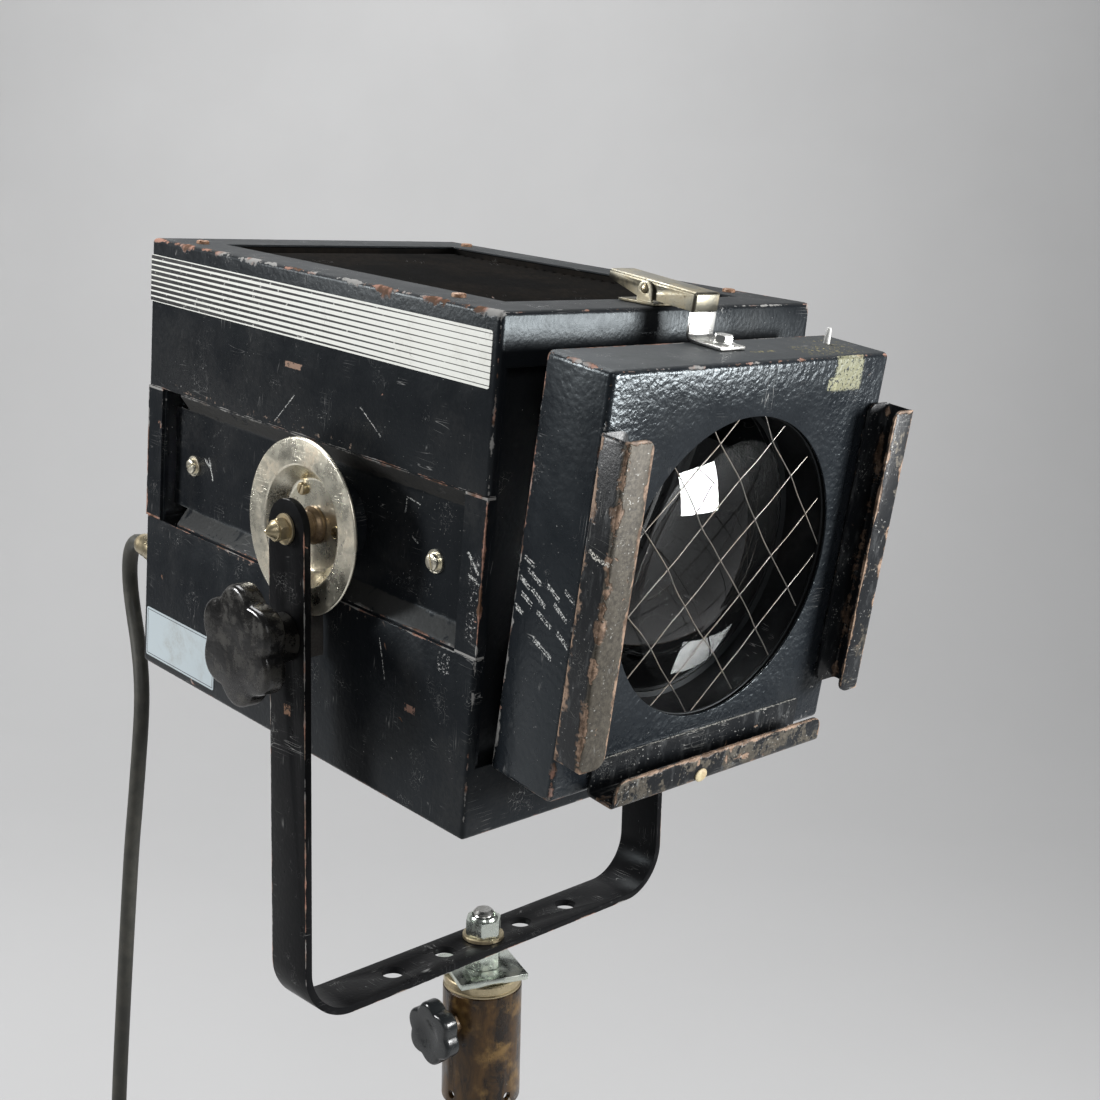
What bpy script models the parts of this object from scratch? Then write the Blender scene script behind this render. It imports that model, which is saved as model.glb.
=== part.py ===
# Lens spotlight on a strap yoke, with its stand socket and supply cable.
# Metres, +Z up. The light points along -Y and tilts about X.
# The origin is the middle of the stand socket's mouth.

import math

import bmesh
import bpy
from mathutils import Matrix, Vector

# Fits that the whole light shares
seat_gap = 0.0003
thread_clearance = 0.0003
sheet = 0.0012

# Stand socket, a tube that slips over the stand's spigot
socket_length = 0.070
socket_radius = 0.023
socket_wall = 0.003
socket_lip = 0.0008
cross_hole_radius = 0.0025
cross_hole_height = 0.007
clamp_height = 0.0515
socket_boss_across = 0.013
socket_boss_reach = 0.0293

# Turned cap and square plate on top of the socket
cap_height = 0.0067
cap_radius = 0.0227
cap_groove = 0.0010
top_plate_side = 0.041
top_plate_thickness = 0.0037
top_plate_turn = math.radians(-21.3)

# Stand bolt with its nuts and washers
bolt_radius = 0.006
bolt_head_across = 0.018
bolt_head_height = 0.0074
bolt_tip = 0.0028
lower_nut_across = 0.019
lower_nut_height = 0.0102
washer_radius = 0.012
washer_height = 0.0022
lock_nut_height = 0.0115
lock_nut_collar_radius = 0.0078

# Yoke, bent from flat strap
strap_width = 0.030
strap_thickness = 0.004
yoke_reach = 0.1353
yoke_bend_radius = 0.028
pivot_over_bar = 0.257
bar_hole_radius = 0.0065
bar_hole_spacing = (0.0294, 0.0668)

# Side pivots
pivot_radius = 0.003
pivot_clearance = 0.0003
pivot_head_across = 0.017
pivot_head_height = 0.0064
acorn_across = 0.0106
acorn_height = 0.0050
acorn_washer_radius = 0.0078
acorn_washer_height = 0.0013
acorn_dome_height = 0.0058
bush_radius = 0.0085
bush_flange = 0.0012
right_boss_radius = 0.016

# Plated tilt dish on the left side
dish_radius = 0.0448
dish_well_radius = 0.0312
dish_floor_radius = 0.0246
dish_stand_off = 0.0166
dish_depth = 0.0091
dish_sheet = 0.0020
dish_boss_radius = 0.022

# Jaw and knob that clamp the dish's rim
clamp_below_pivot = 0.0545
jaw_half_width = 0.011
jaw_depth = 0.0099
jaw_top_below_pivot = 0.0410
jaw_bottom_below_pivot = 0.0640
clamp_screw_radius = 0.004
tilt_knob_radius = 0.0306
tilt_knob_lobes = 6
tilt_knob_hollow = 0.0048
tilt_knob_thickness = 0.0125
tilt_knob_hub_radius = 0.0125
tilt_knob_hub_length = 0.0188
knob_bore_depth = 0.0095

# Star knob on the socket
star_knob_radius = 0.0184
star_knob_lobes = 6
star_knob_hollow = 0.0028
star_knob_thickness = 0.0108
star_knob_hub_radius = 0.0085
star_knob_hub_length = 0.0019

# Lamp housing, measured from its front lower edge
body_width = 0.221
body_length = 0.292
body_height = 0.250
body_corner = 0.0025
pivot_from_front = 0.117
pivot_over_floor = 0.127
tilt_at_rest = math.radians(4.86)
lower_cover_height = 0.090
upper_cover_from = 0.167
edge_return = 0.005
top_strip = 0.025
bottom_strip_under_box = 0.0006
vent_half_width = 0.083
vent_from = 0.028
vent_to = 0.260
optical_height = 0.1355

# Corner posts
post_leg = 0.015
post_front_leg = 0.0060
post_sheet = 0.0015
post_chamfer = 0.0012
post_end_gap = 0.0013

# Pressed side trays in the middle band
tray_depth = 0.0085
tray_lip_depth = 0.0015
tray_slope_from = 0.0915
tray_slope_to = 0.1005
tray_slope_height = 0.0090
tray_tuck = 0.007
tray_notch = 0.0145
tray_end_gap = 0.0005

# Front and back panels
panel_recess = 0.008
panel_edge_gap = 0.0009
panel_return = 0.0065
panel_hole_radius = 0.074

# Louvred vent
slat_pitch = 0.008
slat_width = 0.009
slat_thickness = 0.0010
slat_tilt = math.radians(30)
slat_drop = 0.0068
louvre_wall = 0.0020
louvre_depth = 0.012

# Air slots and focus slot in the floor
air_slot_length = 0.034
air_slot_width = 0.005
air_slot_pitch = 0.016
air_slot_count = 7
air_slot_from_middle = 0.062
air_slot_from_front = 0.070
focus_slot_width = 0.009
focus_slot_from = 0.068
focus_slot_to = 0.198

# Latch on the top edge
latch_pin_from_front = 0.009
latch_pin_height = 0.0076
latch_pin_radius = 0.0015
latch_base_half_width = 0.0123
latch_base_length = 0.0235
latch_base_from_front = 0.0008
latch_ear_width = 0.010
latch_ear_thickness = 0.0013
latch_ear_rise = 0.0039
lever_half_width = 0.009
lever_length = 0.057
lever_height = 0.0092
lever_tab_reach = 0.0309
lever_top_over_pin = 0.0046
lever_tail_height = 0.0040
lever_incline = math.radians(4.7)

# Lens box, hinged at its lower back edge
lens_box_width = 0.201
lens_box_height = 0.2003
lens_box_depth = 0.0394
lens_box_corner = 0.003
lens_box_wall = 0.0015
lens_box_under_top = 0.0131
lens_box_stand_off = 0.0054
lens_box_lean = math.radians(4.25)
aperture_radius = 0.075
aperture_height = 0.0989

# Lens, its holder and the wire guard
lens_radius = 0.0760
lens_curve_radius = 0.130
lens_edge = 0.004
lens_clearance = 0.0003
lens_seat_depth = 0.0345
holder_wall = 0.0015
holder_length = 0.0362
holder_flange = 0.009
holder_stop = 0.0020
guard_radius = 0.0758
guard_rim = 0.0022
guard_wire = 0.0011
guard_set_back = 0.0024
guard_pitch_across = 0.024
guard_pitch_up = 0.034
retainer_wire_radius = 0.0012

# Runners that hold accessory frames in front of the lens box
runner_overhang = 0.0045
runner_lip = 0.0168
runner_sheet = 0.0015
runner_stand_off = 0.0030
runner_depth = 0.0180
runner_from = 0.0240
runner_to = 0.1750
runner_pad = 0.008
bottom_runner_half_length = 0.0765
bottom_runner_drop = 0.0010
bottom_runner_lip = 0.0140
bottom_runner_back_lip = 0.0172
bottom_runner_corner = 0.006

# Catch strap that the lever's tab hooks
strap_half_width = 0.009
strap_sheet = 0.0017
strap_foot = 0.0215
strap_behind_box = 0.0025
strap_tip_gap = 0.0004

# Hinge of the lens box
hinge_half_length = 0.060
hinge_middle_half = 0.020
hinge_barrel_radius = 0.0030
hinge_pin_radius = 0.0015
hinge_leaf_thickness = 0.0015
hinge_leaf_drop = 0.023
hinge_door_leaf_length = 0.022

# Lamp carriage on its rails
rail_half_spacing = 0.038
rail_radius = 0.003
rail_height = 0.022
carriage_half_width = 0.048
carriage_from = 0.090
carriage_to = 0.186
carriage_plate = 0.002
carriage_shoe = 0.010
lamp_from_front = 0.130
holder_block_width = 0.040
holder_block_depth = 0.028
holder_block_height = 0.046
lamp_radius = 0.0125
lamp_height = 0.077
lamp_filament_height = 0.056
reflector_radius = 0.052
reflector_half_angle = math.radians(52)
reflector_sheet = 0.0010
reflector_stem_half_width = 0.006
focus_stem_radius = 0.0035
focus_knob_radius = 0.014
focus_knob_height = 0.016
focus_knob_drop = 0.0006

# Supply cable
cable_radius = 0.00475
gland_across = 0.0965
gland_height = 0.0635
gland_length = 0.028
gland_radius = 0.0080
gland_bore_clearance = 0.0004
coil_turns = 3
coil_radius = 0.0525
coil_pitch = 0.0101
coil_points_per_turn = 24
coil_tail = 0.046
tie_width = 0.009
tie_thickness = 0.0012
tie_slack = 0.0009
plug_radius = 0.0185
plug_length = 0.050
plug_neck_radius = 0.0072
plug_neck_length = 0.016
plug_pin_radius = 0.0024
plug_pin_length = 0.019
plug_pin_half_spacing = 0.0095

# Heights and places that follow from the sizes above
cap_bottom = socket_length + seat_gap
cap_top = cap_bottom + cap_height
top_plate_bottom = cap_top + seat_gap
top_plate_top = top_plate_bottom + top_plate_thickness
lower_nut_bottom = top_plate_top + seat_gap
bar_bottom = lower_nut_bottom + lower_nut_height + washer_height + seat_gap
bar_top = bar_bottom + strap_thickness
yoke_washer_bottom = bar_top + seat_gap
lock_nut_bottom = yoke_washer_bottom + washer_height + seat_gap
pivot_height = bar_top + pivot_over_bar
clamp_axis_height = pivot_height - clamp_below_pivot
half_body = body_width / 2
arm_outer = yoke_reach
arm_inner = yoke_reach - strap_thickness
tray_face = half_body - tray_depth
tray_back = tray_face - sheet
dish_face = half_body + dish_stand_off
dish_floor = dish_face - dish_depth
dish_back = dish_floor - dish_sheet
tilt_knob_face = arm_outer + 0.0004 + tilt_knob_hub_length + tilt_knob_thickness
panel_half_width = half_body - sheet - post_sheet - 2 * seat_gap
hinge_drop = hinge_barrel_radius + seat_gap
lens_box_over_floor = body_height - lens_box_under_top - lens_box_height
bottom_strip = lens_box_over_floor - bottom_strip_under_box
runner_reach = lens_box_width / 2 + runner_overhang


# Scene and shared tools

for old in list(bpy.data.objects):
    bpy.data.objects.remove(old, do_unlink=True)

scene = bpy.context.scene
parts = bpy.data.collections.new("film_light")
cutters = bpy.data.collections.new("film_light_cutters")
scene.collection.children.link(parts)
scene.collection.children.link(cutters)


def make_material(name, colour, metallic, roughness):
    material = bpy.data.materials.new(name)
    material.use_nodes = True
    shader = material.node_tree.nodes["Principled BSDF"]
    shader.inputs["Base Color"].default_value = (*colour, 1.0)
    shader.inputs["Metallic"].default_value = metallic
    shader.inputs["Roughness"].default_value = roughness
    material.diffuse_color = (*colour, 1.0)
    return material


black_paint = make_material("black_paint", (0.020, 0.024, 0.029), 0.0, 0.38)
yoke_paint = make_material("yoke_paint", (0.012, 0.012, 0.013), 0.0, 0.35)
louvre_paint = make_material("louvre_paint", (0.018, 0.017, 0.016), 0.0, 0.6)
runner_steel = make_material("runner_steel", (0.075, 0.050, 0.037), 0.4, 0.5)
nickel = make_material("nickel", (0.50, 0.46, 0.38), 1.0, 0.35)
latch_plate = make_material("latch_plate", (0.48, 0.45, 0.34), 0.9, 0.4)
zinc = make_material("zinc", (0.56, 0.60, 0.56), 1.0, 0.3)
brass = make_material("brass", (0.55, 0.42, 0.20), 1.0, 0.35)
lacquer = make_material("lacquer", (0.16, 0.075, 0.025), 0.3, 0.3)
bakelite = make_material("bakelite", (0.016, 0.014, 0.013), 0.0, 0.4)
knob_plastic = make_material("knob_plastic", (0.030, 0.034, 0.036), 0.0, 0.4)
lens_glass = make_material("lens_glass", (0.75, 0.80, 0.80), 0.0, 0.03)
lamp_glass = make_material("lamp_glass", (0.85, 0.86, 0.84), 0.0, 0.05)
guard_wire_steel = make_material("guard_wire_steel", (0.55, 0.53, 0.48), 1.0, 0.3)
ceramic = make_material("ceramic", (0.70, 0.66, 0.58), 0.0, 0.6)
mirror = make_material("mirror", (0.85, 0.85, 0.84), 1.0, 0.08)
inner_steel = make_material("inner_steel", (0.42, 0.42, 0.40), 1.0, 0.4)
cable_rubber = make_material("cable_rubber", (0.050, 0.050, 0.040), 0.0, 0.6)
plug_rubber = make_material("plug_rubber", (0.020, 0.020, 0.020), 0.0, 0.6)

TO_LEFT = (0.0, -math.pi / 2, 0.0)
TO_RIGHT = (0.0, math.pi / 2, 0.0)
TO_FRONT = (math.pi / 2, 0.0, 0.0)
TO_BACK = (-math.pi / 2, 0.0, 0.0)
UPRIGHT = (0.0, 0.0, 0.0)


def empty(name, location, parent=None, rotation=UPRIGHT):
    obj = bpy.data.objects.new(name, None)
    obj.location = location
    obj.rotation_euler = rotation
    obj.parent = parent
    parts.objects.link(obj)
    return obj


def place(name, bm, material, location, rotation, parent):
    mesh = bpy.data.meshes.new(name)
    bm.to_mesh(mesh)
    bm.free()
    obj = bpy.data.objects.new(name, mesh)
    obj.location = location
    obj.rotation_euler = rotation
    obj.parent = parent
    if material is None:
        cutters.objects.link(obj)
        obj.hide_render = True
        obj.display_type = "WIRE"
    else:
        parts.objects.link(obj)
        mesh.materials.append(material)
    return obj


def smooth(obj, angle=35):
    obj.data.shade_smooth()
    obj.data.set_sharp_from_angle(angle=math.radians(angle))
    return obj


def add_bevel(obj, width, segments=2, angle=40):
    bevel = obj.modifiers.new("bevel", "BEVEL")
    bevel.width = width
    bevel.segments = segments
    bevel.limit_method = "ANGLE"
    bevel.angle_limit = math.radians(angle)
    return obj


def box(name, low, high, material=None, parent=None, bevel=0.0, segments=1):
    """A block between two corners given in its parent's frame."""
    low, high = Vector(low), Vector(high)
    bm = bmesh.new()
    bmesh.ops.create_cube(bm, size=1.0)
    bmesh.ops.scale(bm, vec=high - low, verts=bm.verts)
    obj = place(name, bm, material, (low + high) / 2, UPRIGHT, parent)
    if bevel:
        add_bevel(obj, bevel, segments)
    return obj


def rod(name, radius, length, base, rotation=UPRIGHT, material=None, parent=None, sides=32):
    """A cylinder that stands on base and runs along its turned Z."""
    bm = bmesh.new()
    bmesh.ops.create_cone(bm, cap_ends=True, segments=sides, radius1=radius, radius2=radius, depth=length)
    bmesh.ops.translate(bm, vec=(0, 0, length / 2), verts=bm.verts)
    return smooth(place(name, bm, material, base, rotation, parent))


def prism(name, across_flats, height, base, rotation=UPRIGHT, material=None, parent=None, sides=6, bevel=0.0):
    """A hexagonal bar such as a nut or a bolt head."""
    radius = across_flats / 2 / math.cos(math.pi / sides)
    bm = bmesh.new()
    bmesh.ops.create_cone(bm, cap_ends=True, segments=sides, radius1=radius, radius2=radius, depth=height)
    bmesh.ops.translate(bm, vec=(0, 0, height / 2), verts=bm.verts)
    obj = place(name, bm, material, base, rotation, parent)
    if bevel:
        add_bevel(obj, bevel, 1)
    return obj


def turned(name, profile, location=(0, 0, 0), rotation=UPRIGHT, material=None, parent=None, steps=32):
    """A turned piece from (radius, height) pairs that run down its outer side."""
    bm = bmesh.new()
    points = [bm.verts.new((radius, 0.0, height)) for radius, height in profile]
    for first, second in zip(points, points[1:]):
        bm.edges.new((first, second))
    if profile[0][0] > 0 or profile[-1][0] > 0:
        bm.edges.new((points[-1], points[0]))
    obj = place(name, bm, material, location, rotation, parent)
    screw = obj.modifiers.new("screw", "SCREW")
    screw.axis = "Z"
    screw.steps = steps
    screw.render_steps = steps
    screw.use_merge_vertices = True
    screw.merge_threshold = 0.00001
    screw.use_smooth_shade = True
    return obj


def arc(centre_x, centre_y, radius, start, end, steps):
    """Points on an arc, with its ends, from start to end in degrees."""
    angles = [math.radians(start + (end - start) * i / steps) for i in range(steps + 1)]
    return [(centre_x + radius * math.cos(a), centre_y + radius * math.sin(a)) for a in angles]


def plate(name, outlines, thickness, location=(0, 0, 0), rotation=UPRIGHT, material=None, parent=None):
    """A flat outline in its own XY, with any holes, centred on its thickness."""
    curve = bpy.data.curves.new(name, "CURVE")
    curve.dimensions = "2D"
    curve.fill_mode = "BOTH"
    curve.extrude = thickness / 2
    for outline in outlines:
        spline = curve.splines.new("POLY")
        spline.points.add(len(outline) - 1)
        for point, (x, y) in zip(spline.points, outline):
            point.co = (x, y, 0.0, 1.0)
        spline.use_cyclic_u = True
    guide = bpy.data.objects.new(name + "_outline", curve)
    scene.collection.objects.link(guide)
    bpy.context.view_layer.update()
    flat = guide.evaluated_get(bpy.context.evaluated_depsgraph_get())
    mesh = bpy.data.meshes.new_from_object(flat)
    bpy.data.objects.remove(guide, do_unlink=True)
    bm = bmesh.new()
    bm.from_mesh(mesh)
    bpy.data.meshes.remove(mesh)
    bmesh.ops.remove_doubles(bm, verts=bm.verts, dist=0.000005)
    return place(name, bm, material, location, rotation, parent)


def bent_strip(name, path, width, thickness, location=(0, 0, 0), rotation=UPRIGHT, material=None, parent=None, offset=0.0):
    """A sheet bent along a path in XZ, with its width along Y."""
    bm = bmesh.new()
    points = [bm.verts.new((x, -width / 2, z)) for x, z in path]
    edges = [bm.edges.new(pair) for pair in zip(points, points[1:])]
    strip = bmesh.ops.extrude_edge_only(bm, edges=edges)
    moved = [item for item in strip["geom"] if isinstance(item, bmesh.types.BMVert)]
    bmesh.ops.translate(bm, vec=(0, width, 0), verts=moved)
    bmesh.ops.recalc_face_normals(bm, faces=bm.faces)
    obj = place(name, bm, material, location, rotation, parent)
    add_wall(obj, thickness, offset)
    return obj


def add_wall(obj, thickness, offset=-1.0):
    wall = obj.modifiers.new("wall", "SOLIDIFY")
    wall.thickness = thickness
    wall.offset = offset
    wall.use_even_offset = True
    return obj


def folded_box(name, low, high, open_sides, corner, wall, material, parent):
    """A sheet-metal box with rounded folds; open_sides are outward directions."""
    low, high = Vector(low), Vector(high)
    bm = bmesh.new()
    bmesh.ops.create_cube(bm, size=1.0)
    bmesh.ops.scale(bm, vec=high - low, verts=bm.verts)
    bmesh.ops.translate(bm, vec=(low + high) / 2, verts=bm.verts)
    bm.normal_update()
    removed = [f for f in bm.faces if any(f.normal.dot(Vector(side)) > 0.9 for side in open_sides)]
    bmesh.ops.delete(bm, geom=removed, context="FACES")
    folds = [edge for edge in bm.edges if len(edge.link_faces) == 2]
    bmesh.ops.bevel(bm, geom=folds, offset=corner, segments=2, profile=0.5, affect="EDGES", material=-1)
    obj = place(name, bm, material, (0, 0, 0), UPRIGHT, parent)
    add_wall(obj, wall)
    return smooth(obj, 50)


def combine(obj, tool, operation):
    if tool.name not in cutters.objects:
        parts.objects.unlink(tool)
        cutters.objects.link(tool)
        tool.hide_render = True
        tool.display_type = "WIRE"
    boolean = obj.modifiers.new(operation.lower(), "BOOLEAN")
    boolean.operation = operation
    boolean.solver = "EXACT"
    boolean.object = tool
    return obj


def cut(obj, *tools):
    for tool in tools:
        combine(obj, tool, "DIFFERENCE")
    return obj


def fuse(obj, *tools):
    for tool in tools:
        combine(obj, tool, "UNION")
    return obj


def tube(name, points, radius, material, parent=None, resolution=2):
    """A round cord through points, with flat ends."""
    curve = bpy.data.curves.new(name, "CURVE")
    curve.dimensions = "3D"
    curve.bevel_depth = radius
    curve.bevel_resolution = resolution
    curve.use_fill_caps = True
    spline = curve.splines.new("POLY")
    spline.points.add(len(points) - 1)
    for point, place_ in zip(spline.points, points):
        point.co = (*place_, 1.0)
    obj = bpy.data.objects.new(name, curve)
    parts.objects.link(obj)
    curve.materials.append(material)
    obj.parent = parent
    return obj


# Axes that the moving pieces hang from

pan_axis = empty("pan_axis", (0, 0, bar_top))
tilt_axis = empty("tilt_axis", (0, 0, pivot_height), rotation=(tilt_at_rest, 0, 0))
body_corner_frame = empty("body_frame", (0, -pivot_from_front, -pivot_over_floor), tilt_axis)
door_axis_place = (
    0,
    -lens_box_stand_off + math.sin(lens_box_lean) * hinge_drop,
    lens_box_over_floor - math.cos(lens_box_lean) * hinge_drop,
)
door_axis = empty("door_axis", door_axis_place, body_corner_frame, (lens_box_lean, 0, 0))
door_frame = empty("door_frame", (0, -lens_box_depth, hinge_drop), door_axis)
latch_axis = empty(
    "latch_axis",
    (0, latch_pin_from_front, body_height + latch_pin_height),
    body_corner_frame,
    (lever_incline, 0, 0),
)
tilt_knob_axis = empty("tilt_knob_axis", (0, 0, clamp_axis_height), rotation=TO_LEFT)
socket_knob_axis = empty("socket_knob_axis", (0, 0, clamp_height), rotation=TO_LEFT)


# Stand socket and what is bolted on it

def make_socket():
    inner = socket_radius - socket_wall
    socket = turned(
        "stand_socket",
        [
            (socket_radius, socket_length),
            (socket_radius, socket_lip),
            (socket_radius - socket_lip, 0.0),
            (inner, 0.0),
            (inner, socket_length),
        ],
        material=lacquer,
    )
    boss = prism(
        "socket_boss", socket_boss_across, socket_boss_reach - socket_radius + socket_wall / 2,
        (-socket_radius + socket_wall / 2, 0, clamp_height), TO_LEFT,
    )
    fuse(socket, boss)
    screw_hole = rod(
        "socket_screw_hole", clamp_screw_radius + thread_clearance, socket_radius,
        (-inner / 2, 0, clamp_height), TO_LEFT,
    )
    across = 2.4 * socket_radius
    cross_x = rod(
        "cross_hole_x", cross_hole_radius, across, (-across / 2, 0, cross_hole_height), TO_RIGHT, sides=16
    )
    cross_y = rod(
        "cross_hole_y", cross_hole_radius, across, (0, -across / 2, cross_hole_height), TO_BACK, sides=16
    )
    cut(socket, screw_hole, cross_x, cross_y)


def make_socket_top():
    bore = bolt_radius + thread_clearance
    turned(
        "socket_cap",
        [
            (cap_radius, cap_top),
            (cap_radius, cap_bottom + cap_groove * 2),
            (cap_radius - cap_groove, cap_bottom + cap_groove),
            (cap_radius, cap_bottom),
            (bore, cap_bottom),
            (bore, cap_top),
        ],
        material=zinc,
    )
    top_plate = box(
        "socket_top_plate",
        (-top_plate_side / 2, -top_plate_side / 2, top_plate_bottom),
        (top_plate_side / 2, top_plate_side / 2, top_plate_top),
        zinc,
        bevel=0.0004,
    )
    top_plate.rotation_euler = (0, 0, top_plate_turn)
    cut(top_plate, rod("top_plate_hole", bore, 4 * top_plate_thickness, (0, 0, cap_bottom)))


def make_stand_bolt():
    head_bottom = cap_bottom - seat_gap - bolt_head_height
    tip = lock_nut_bottom + lock_nut_height + bolt_tip
    bolt = prism("stand_bolt", bolt_head_across, bolt_head_height, (0, 0, head_bottom), material=zinc)
    shank_bottom = head_bottom + bolt_head_height / 2
    shank = turned(
        "stand_bolt_shank",
        [(0, tip), (bolt_radius * 0.72, tip), (bolt_radius, tip - bolt_tip / 2), (bolt_radius, shank_bottom),
         (0, shank_bottom)],
        steps=32,
    )
    fuse(bolt, shank)


def make_stand_nuts():
    bore = bolt_radius + thread_clearance
    lower_nut = prism(
        "lower_nut", lower_nut_across, lower_nut_height, (0, 0, lower_nut_bottom),
        rotation=(0, 0, math.radians(12)), material=zinc, bevel=0.0005,
    )
    collar = rod("lower_nut_washer", washer_radius, washer_height,
                 (0, 0, lower_nut_bottom + lower_nut_height - 0.0001))
    fuse(lower_nut, collar)
    cut(lower_nut, rod("lower_nut_bore", bore, 0.03, (0, 0, top_plate_bottom)))
    turned(
        "yoke_washer",
        [(washer_radius, yoke_washer_bottom + washer_height), (washer_radius, yoke_washer_bottom),
         (bore, yoke_washer_bottom), (bore, yoke_washer_bottom + washer_height)],
        material=brass, steps=32,
    )
    yoke_nut = prism(
        "yoke_nut", lower_nut_across, lock_nut_height * 0.8, (0, 0, lock_nut_bottom),
        rotation=(0, 0, math.radians(12)), material=zinc, bevel=0.0005,
    )
    collar_top = lock_nut_bottom + lock_nut_height
    collar_bottom = lock_nut_bottom + lock_nut_height * 0.5
    ring = turned(
        "yoke_nut_collar",
        [(lock_nut_collar_radius - 0.001, collar_top), (lock_nut_collar_radius, collar_top - 0.001),
         (lock_nut_collar_radius, collar_bottom), (bore + 0.0002, collar_bottom), (bore + 0.0002, collar_top)],
        steps=32,
    )
    fuse(yoke_nut, ring)
    cut(yoke_nut, rod("yoke_nut_bore", bore, 0.03, (0, 0, bar_top)))


# Yoke

def make_yoke():
    middle = yoke_reach - strap_thickness / 2
    bar_middle = bar_bottom + strap_thickness / 2
    bend = yoke_bend_radius
    above = pivot_height + strap_width
    path = [(-middle, above)]
    path += arc(-middle + bend, bar_middle + bend, bend, 180, 270, 8)
    path += arc(middle - bend, bar_middle + bend, bend, 270, 360, 8)
    path += [(middle, above)]
    yoke = bent_strip("yoke", path, strap_width + 0.002, strap_thickness, (0, 0, -bar_top),
                      material=yoke_paint, parent=pan_axis)
    half = strap_width / 2
    floor = bar_bottom - strap_width
    outline = arc(0, pivot_height, half, 0, 180, 20) + [(-half, floor), (half, floor)]
    sides = plate(
        "yoke_side_outline", [outline], 2.4 * yoke_reach, rotation=(math.pi / 2, 0, math.pi / 2)
    )
    combine(yoke, sides, "INTERSECT")
    across = 2.4 * yoke_reach
    cut(yoke, rod("yoke_pivot_hole", pivot_radius + pivot_clearance, across,
                  (-across / 2, 0, pivot_height), TO_RIGHT))
    cut(yoke, rod("yoke_clamp_hole", clamp_screw_radius + pivot_clearance, strap_width,
                  (-arm_inner + strap_width / 2, 0, clamp_axis_height), TO_LEFT))
    cut(yoke, rod("yoke_stand_hole", bolt_radius + pivot_clearance, strap_width,
                  (0, 0, bar_middle - strap_width / 2)))
    for number, spacing in enumerate(bar_hole_spacing):
        for side in (-1, 1):
            hole = rod(f"bar_hole_{number}_{side}", bar_hole_radius, strap_width,
                       (side * spacing, 0, bar_middle - strap_width / 2), sides=24)
            cut(yoke, hole)
    smooth(yoke)


def make_clamp_jaw():
    outer = arm_inner - 0.0004
    jaw = box(
        "clamp_jaw",
        (-outer, -jaw_half_width, pivot_height - jaw_bottom_below_pivot),
        (-outer + jaw_depth, jaw_half_width, pivot_height - jaw_top_below_pivot),
        inner_steel,
    )
    gap = 0.0004
    rim = rod("jaw_rim_slot", dish_radius + gap, dish_sheet + 2 * gap,
              (-dish_face - gap, 0, pivot_height), TO_RIGHT, sides=64)
    bore = rod("jaw_bore", clamp_screw_radius + thread_clearance, 3 * jaw_depth,
               (-outer + 2 * jaw_depth, 0, clamp_axis_height), TO_LEFT)
    cut(jaw, rim, bore)
    jaw.parent = pan_axis
    jaw.location.z -= bar_top


# Lobed knobs

def knob_outline(radius, lobes, depth, points_per_lobe):
    """Round lobes with hollows between them."""
    count = lobes * points_per_lobe
    outline = []
    for i in range(count):
        angle = 2 * math.pi * i / count
        swing = (1 + math.cos(lobes * angle)) / 2
        reach = radius - depth * (1 - swing ** 0.6)
        outline.append((reach * math.cos(angle), reach * math.sin(angle)))
    return outline


def make_knob(name, radius, lobes, depth, face, thickness, hub_radius, hub_from, screw_radius, material, axis):
    """A knob turned about its axis frame's Z, with a hub and a blind bore."""
    knob = plate(
        name, [knob_outline(radius, lobes, depth, 6)], thickness, (0, 0, face - thickness / 2),
        material=material, parent=axis,
    )
    add_bevel(knob, thickness * 0.12, 2, 60)
    hub = rod(name + "_hub", hub_radius, face - thickness / 2 - hub_from, (0, 0, hub_from), parent=axis)
    fuse(knob, hub)
    bore = rod(name + "_bore", screw_radius + thread_clearance, knob_bore_depth + thread_clearance,
               (0, 0, hub_from - thread_clearance), parent=axis)
    cut(knob, bore)
    return knob


def make_tilt_knob():
    hub_from = arm_outer + 0.0004
    make_knob("tilt_knob", tilt_knob_radius, tilt_knob_lobes, tilt_knob_hollow, tilt_knob_face, tilt_knob_thickness,
              tilt_knob_hub_radius, hub_from, clamp_screw_radius, bakelite, tilt_knob_axis)
    screw_from = arm_inner - jaw_depth + 0.0006
    rod("tilt_knob_screw", clamp_screw_radius, hub_from + knob_bore_depth - 0.0005 - screw_from,
        (0, 0, screw_from), material=zinc, parent=tilt_knob_axis, sides=24)


def make_socket_knob():
    hub_from = socket_boss_reach + seat_gap
    face = hub_from + star_knob_hub_length + star_knob_thickness
    make_knob("socket_knob", star_knob_radius, star_knob_lobes, star_knob_hollow, face, star_knob_thickness,
              star_knob_hub_radius, hub_from, clamp_screw_radius, knob_plastic, socket_knob_axis)
    screw_from = socket_radius - socket_wall + 0.0005
    rod("socket_knob_screw", clamp_screw_radius, hub_from + knob_bore_depth - 0.0005 - screw_from,
        (0, 0, screw_from), material=zinc, parent=socket_knob_axis, sides=24)


# Side pivots, with the dish on the left

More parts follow.
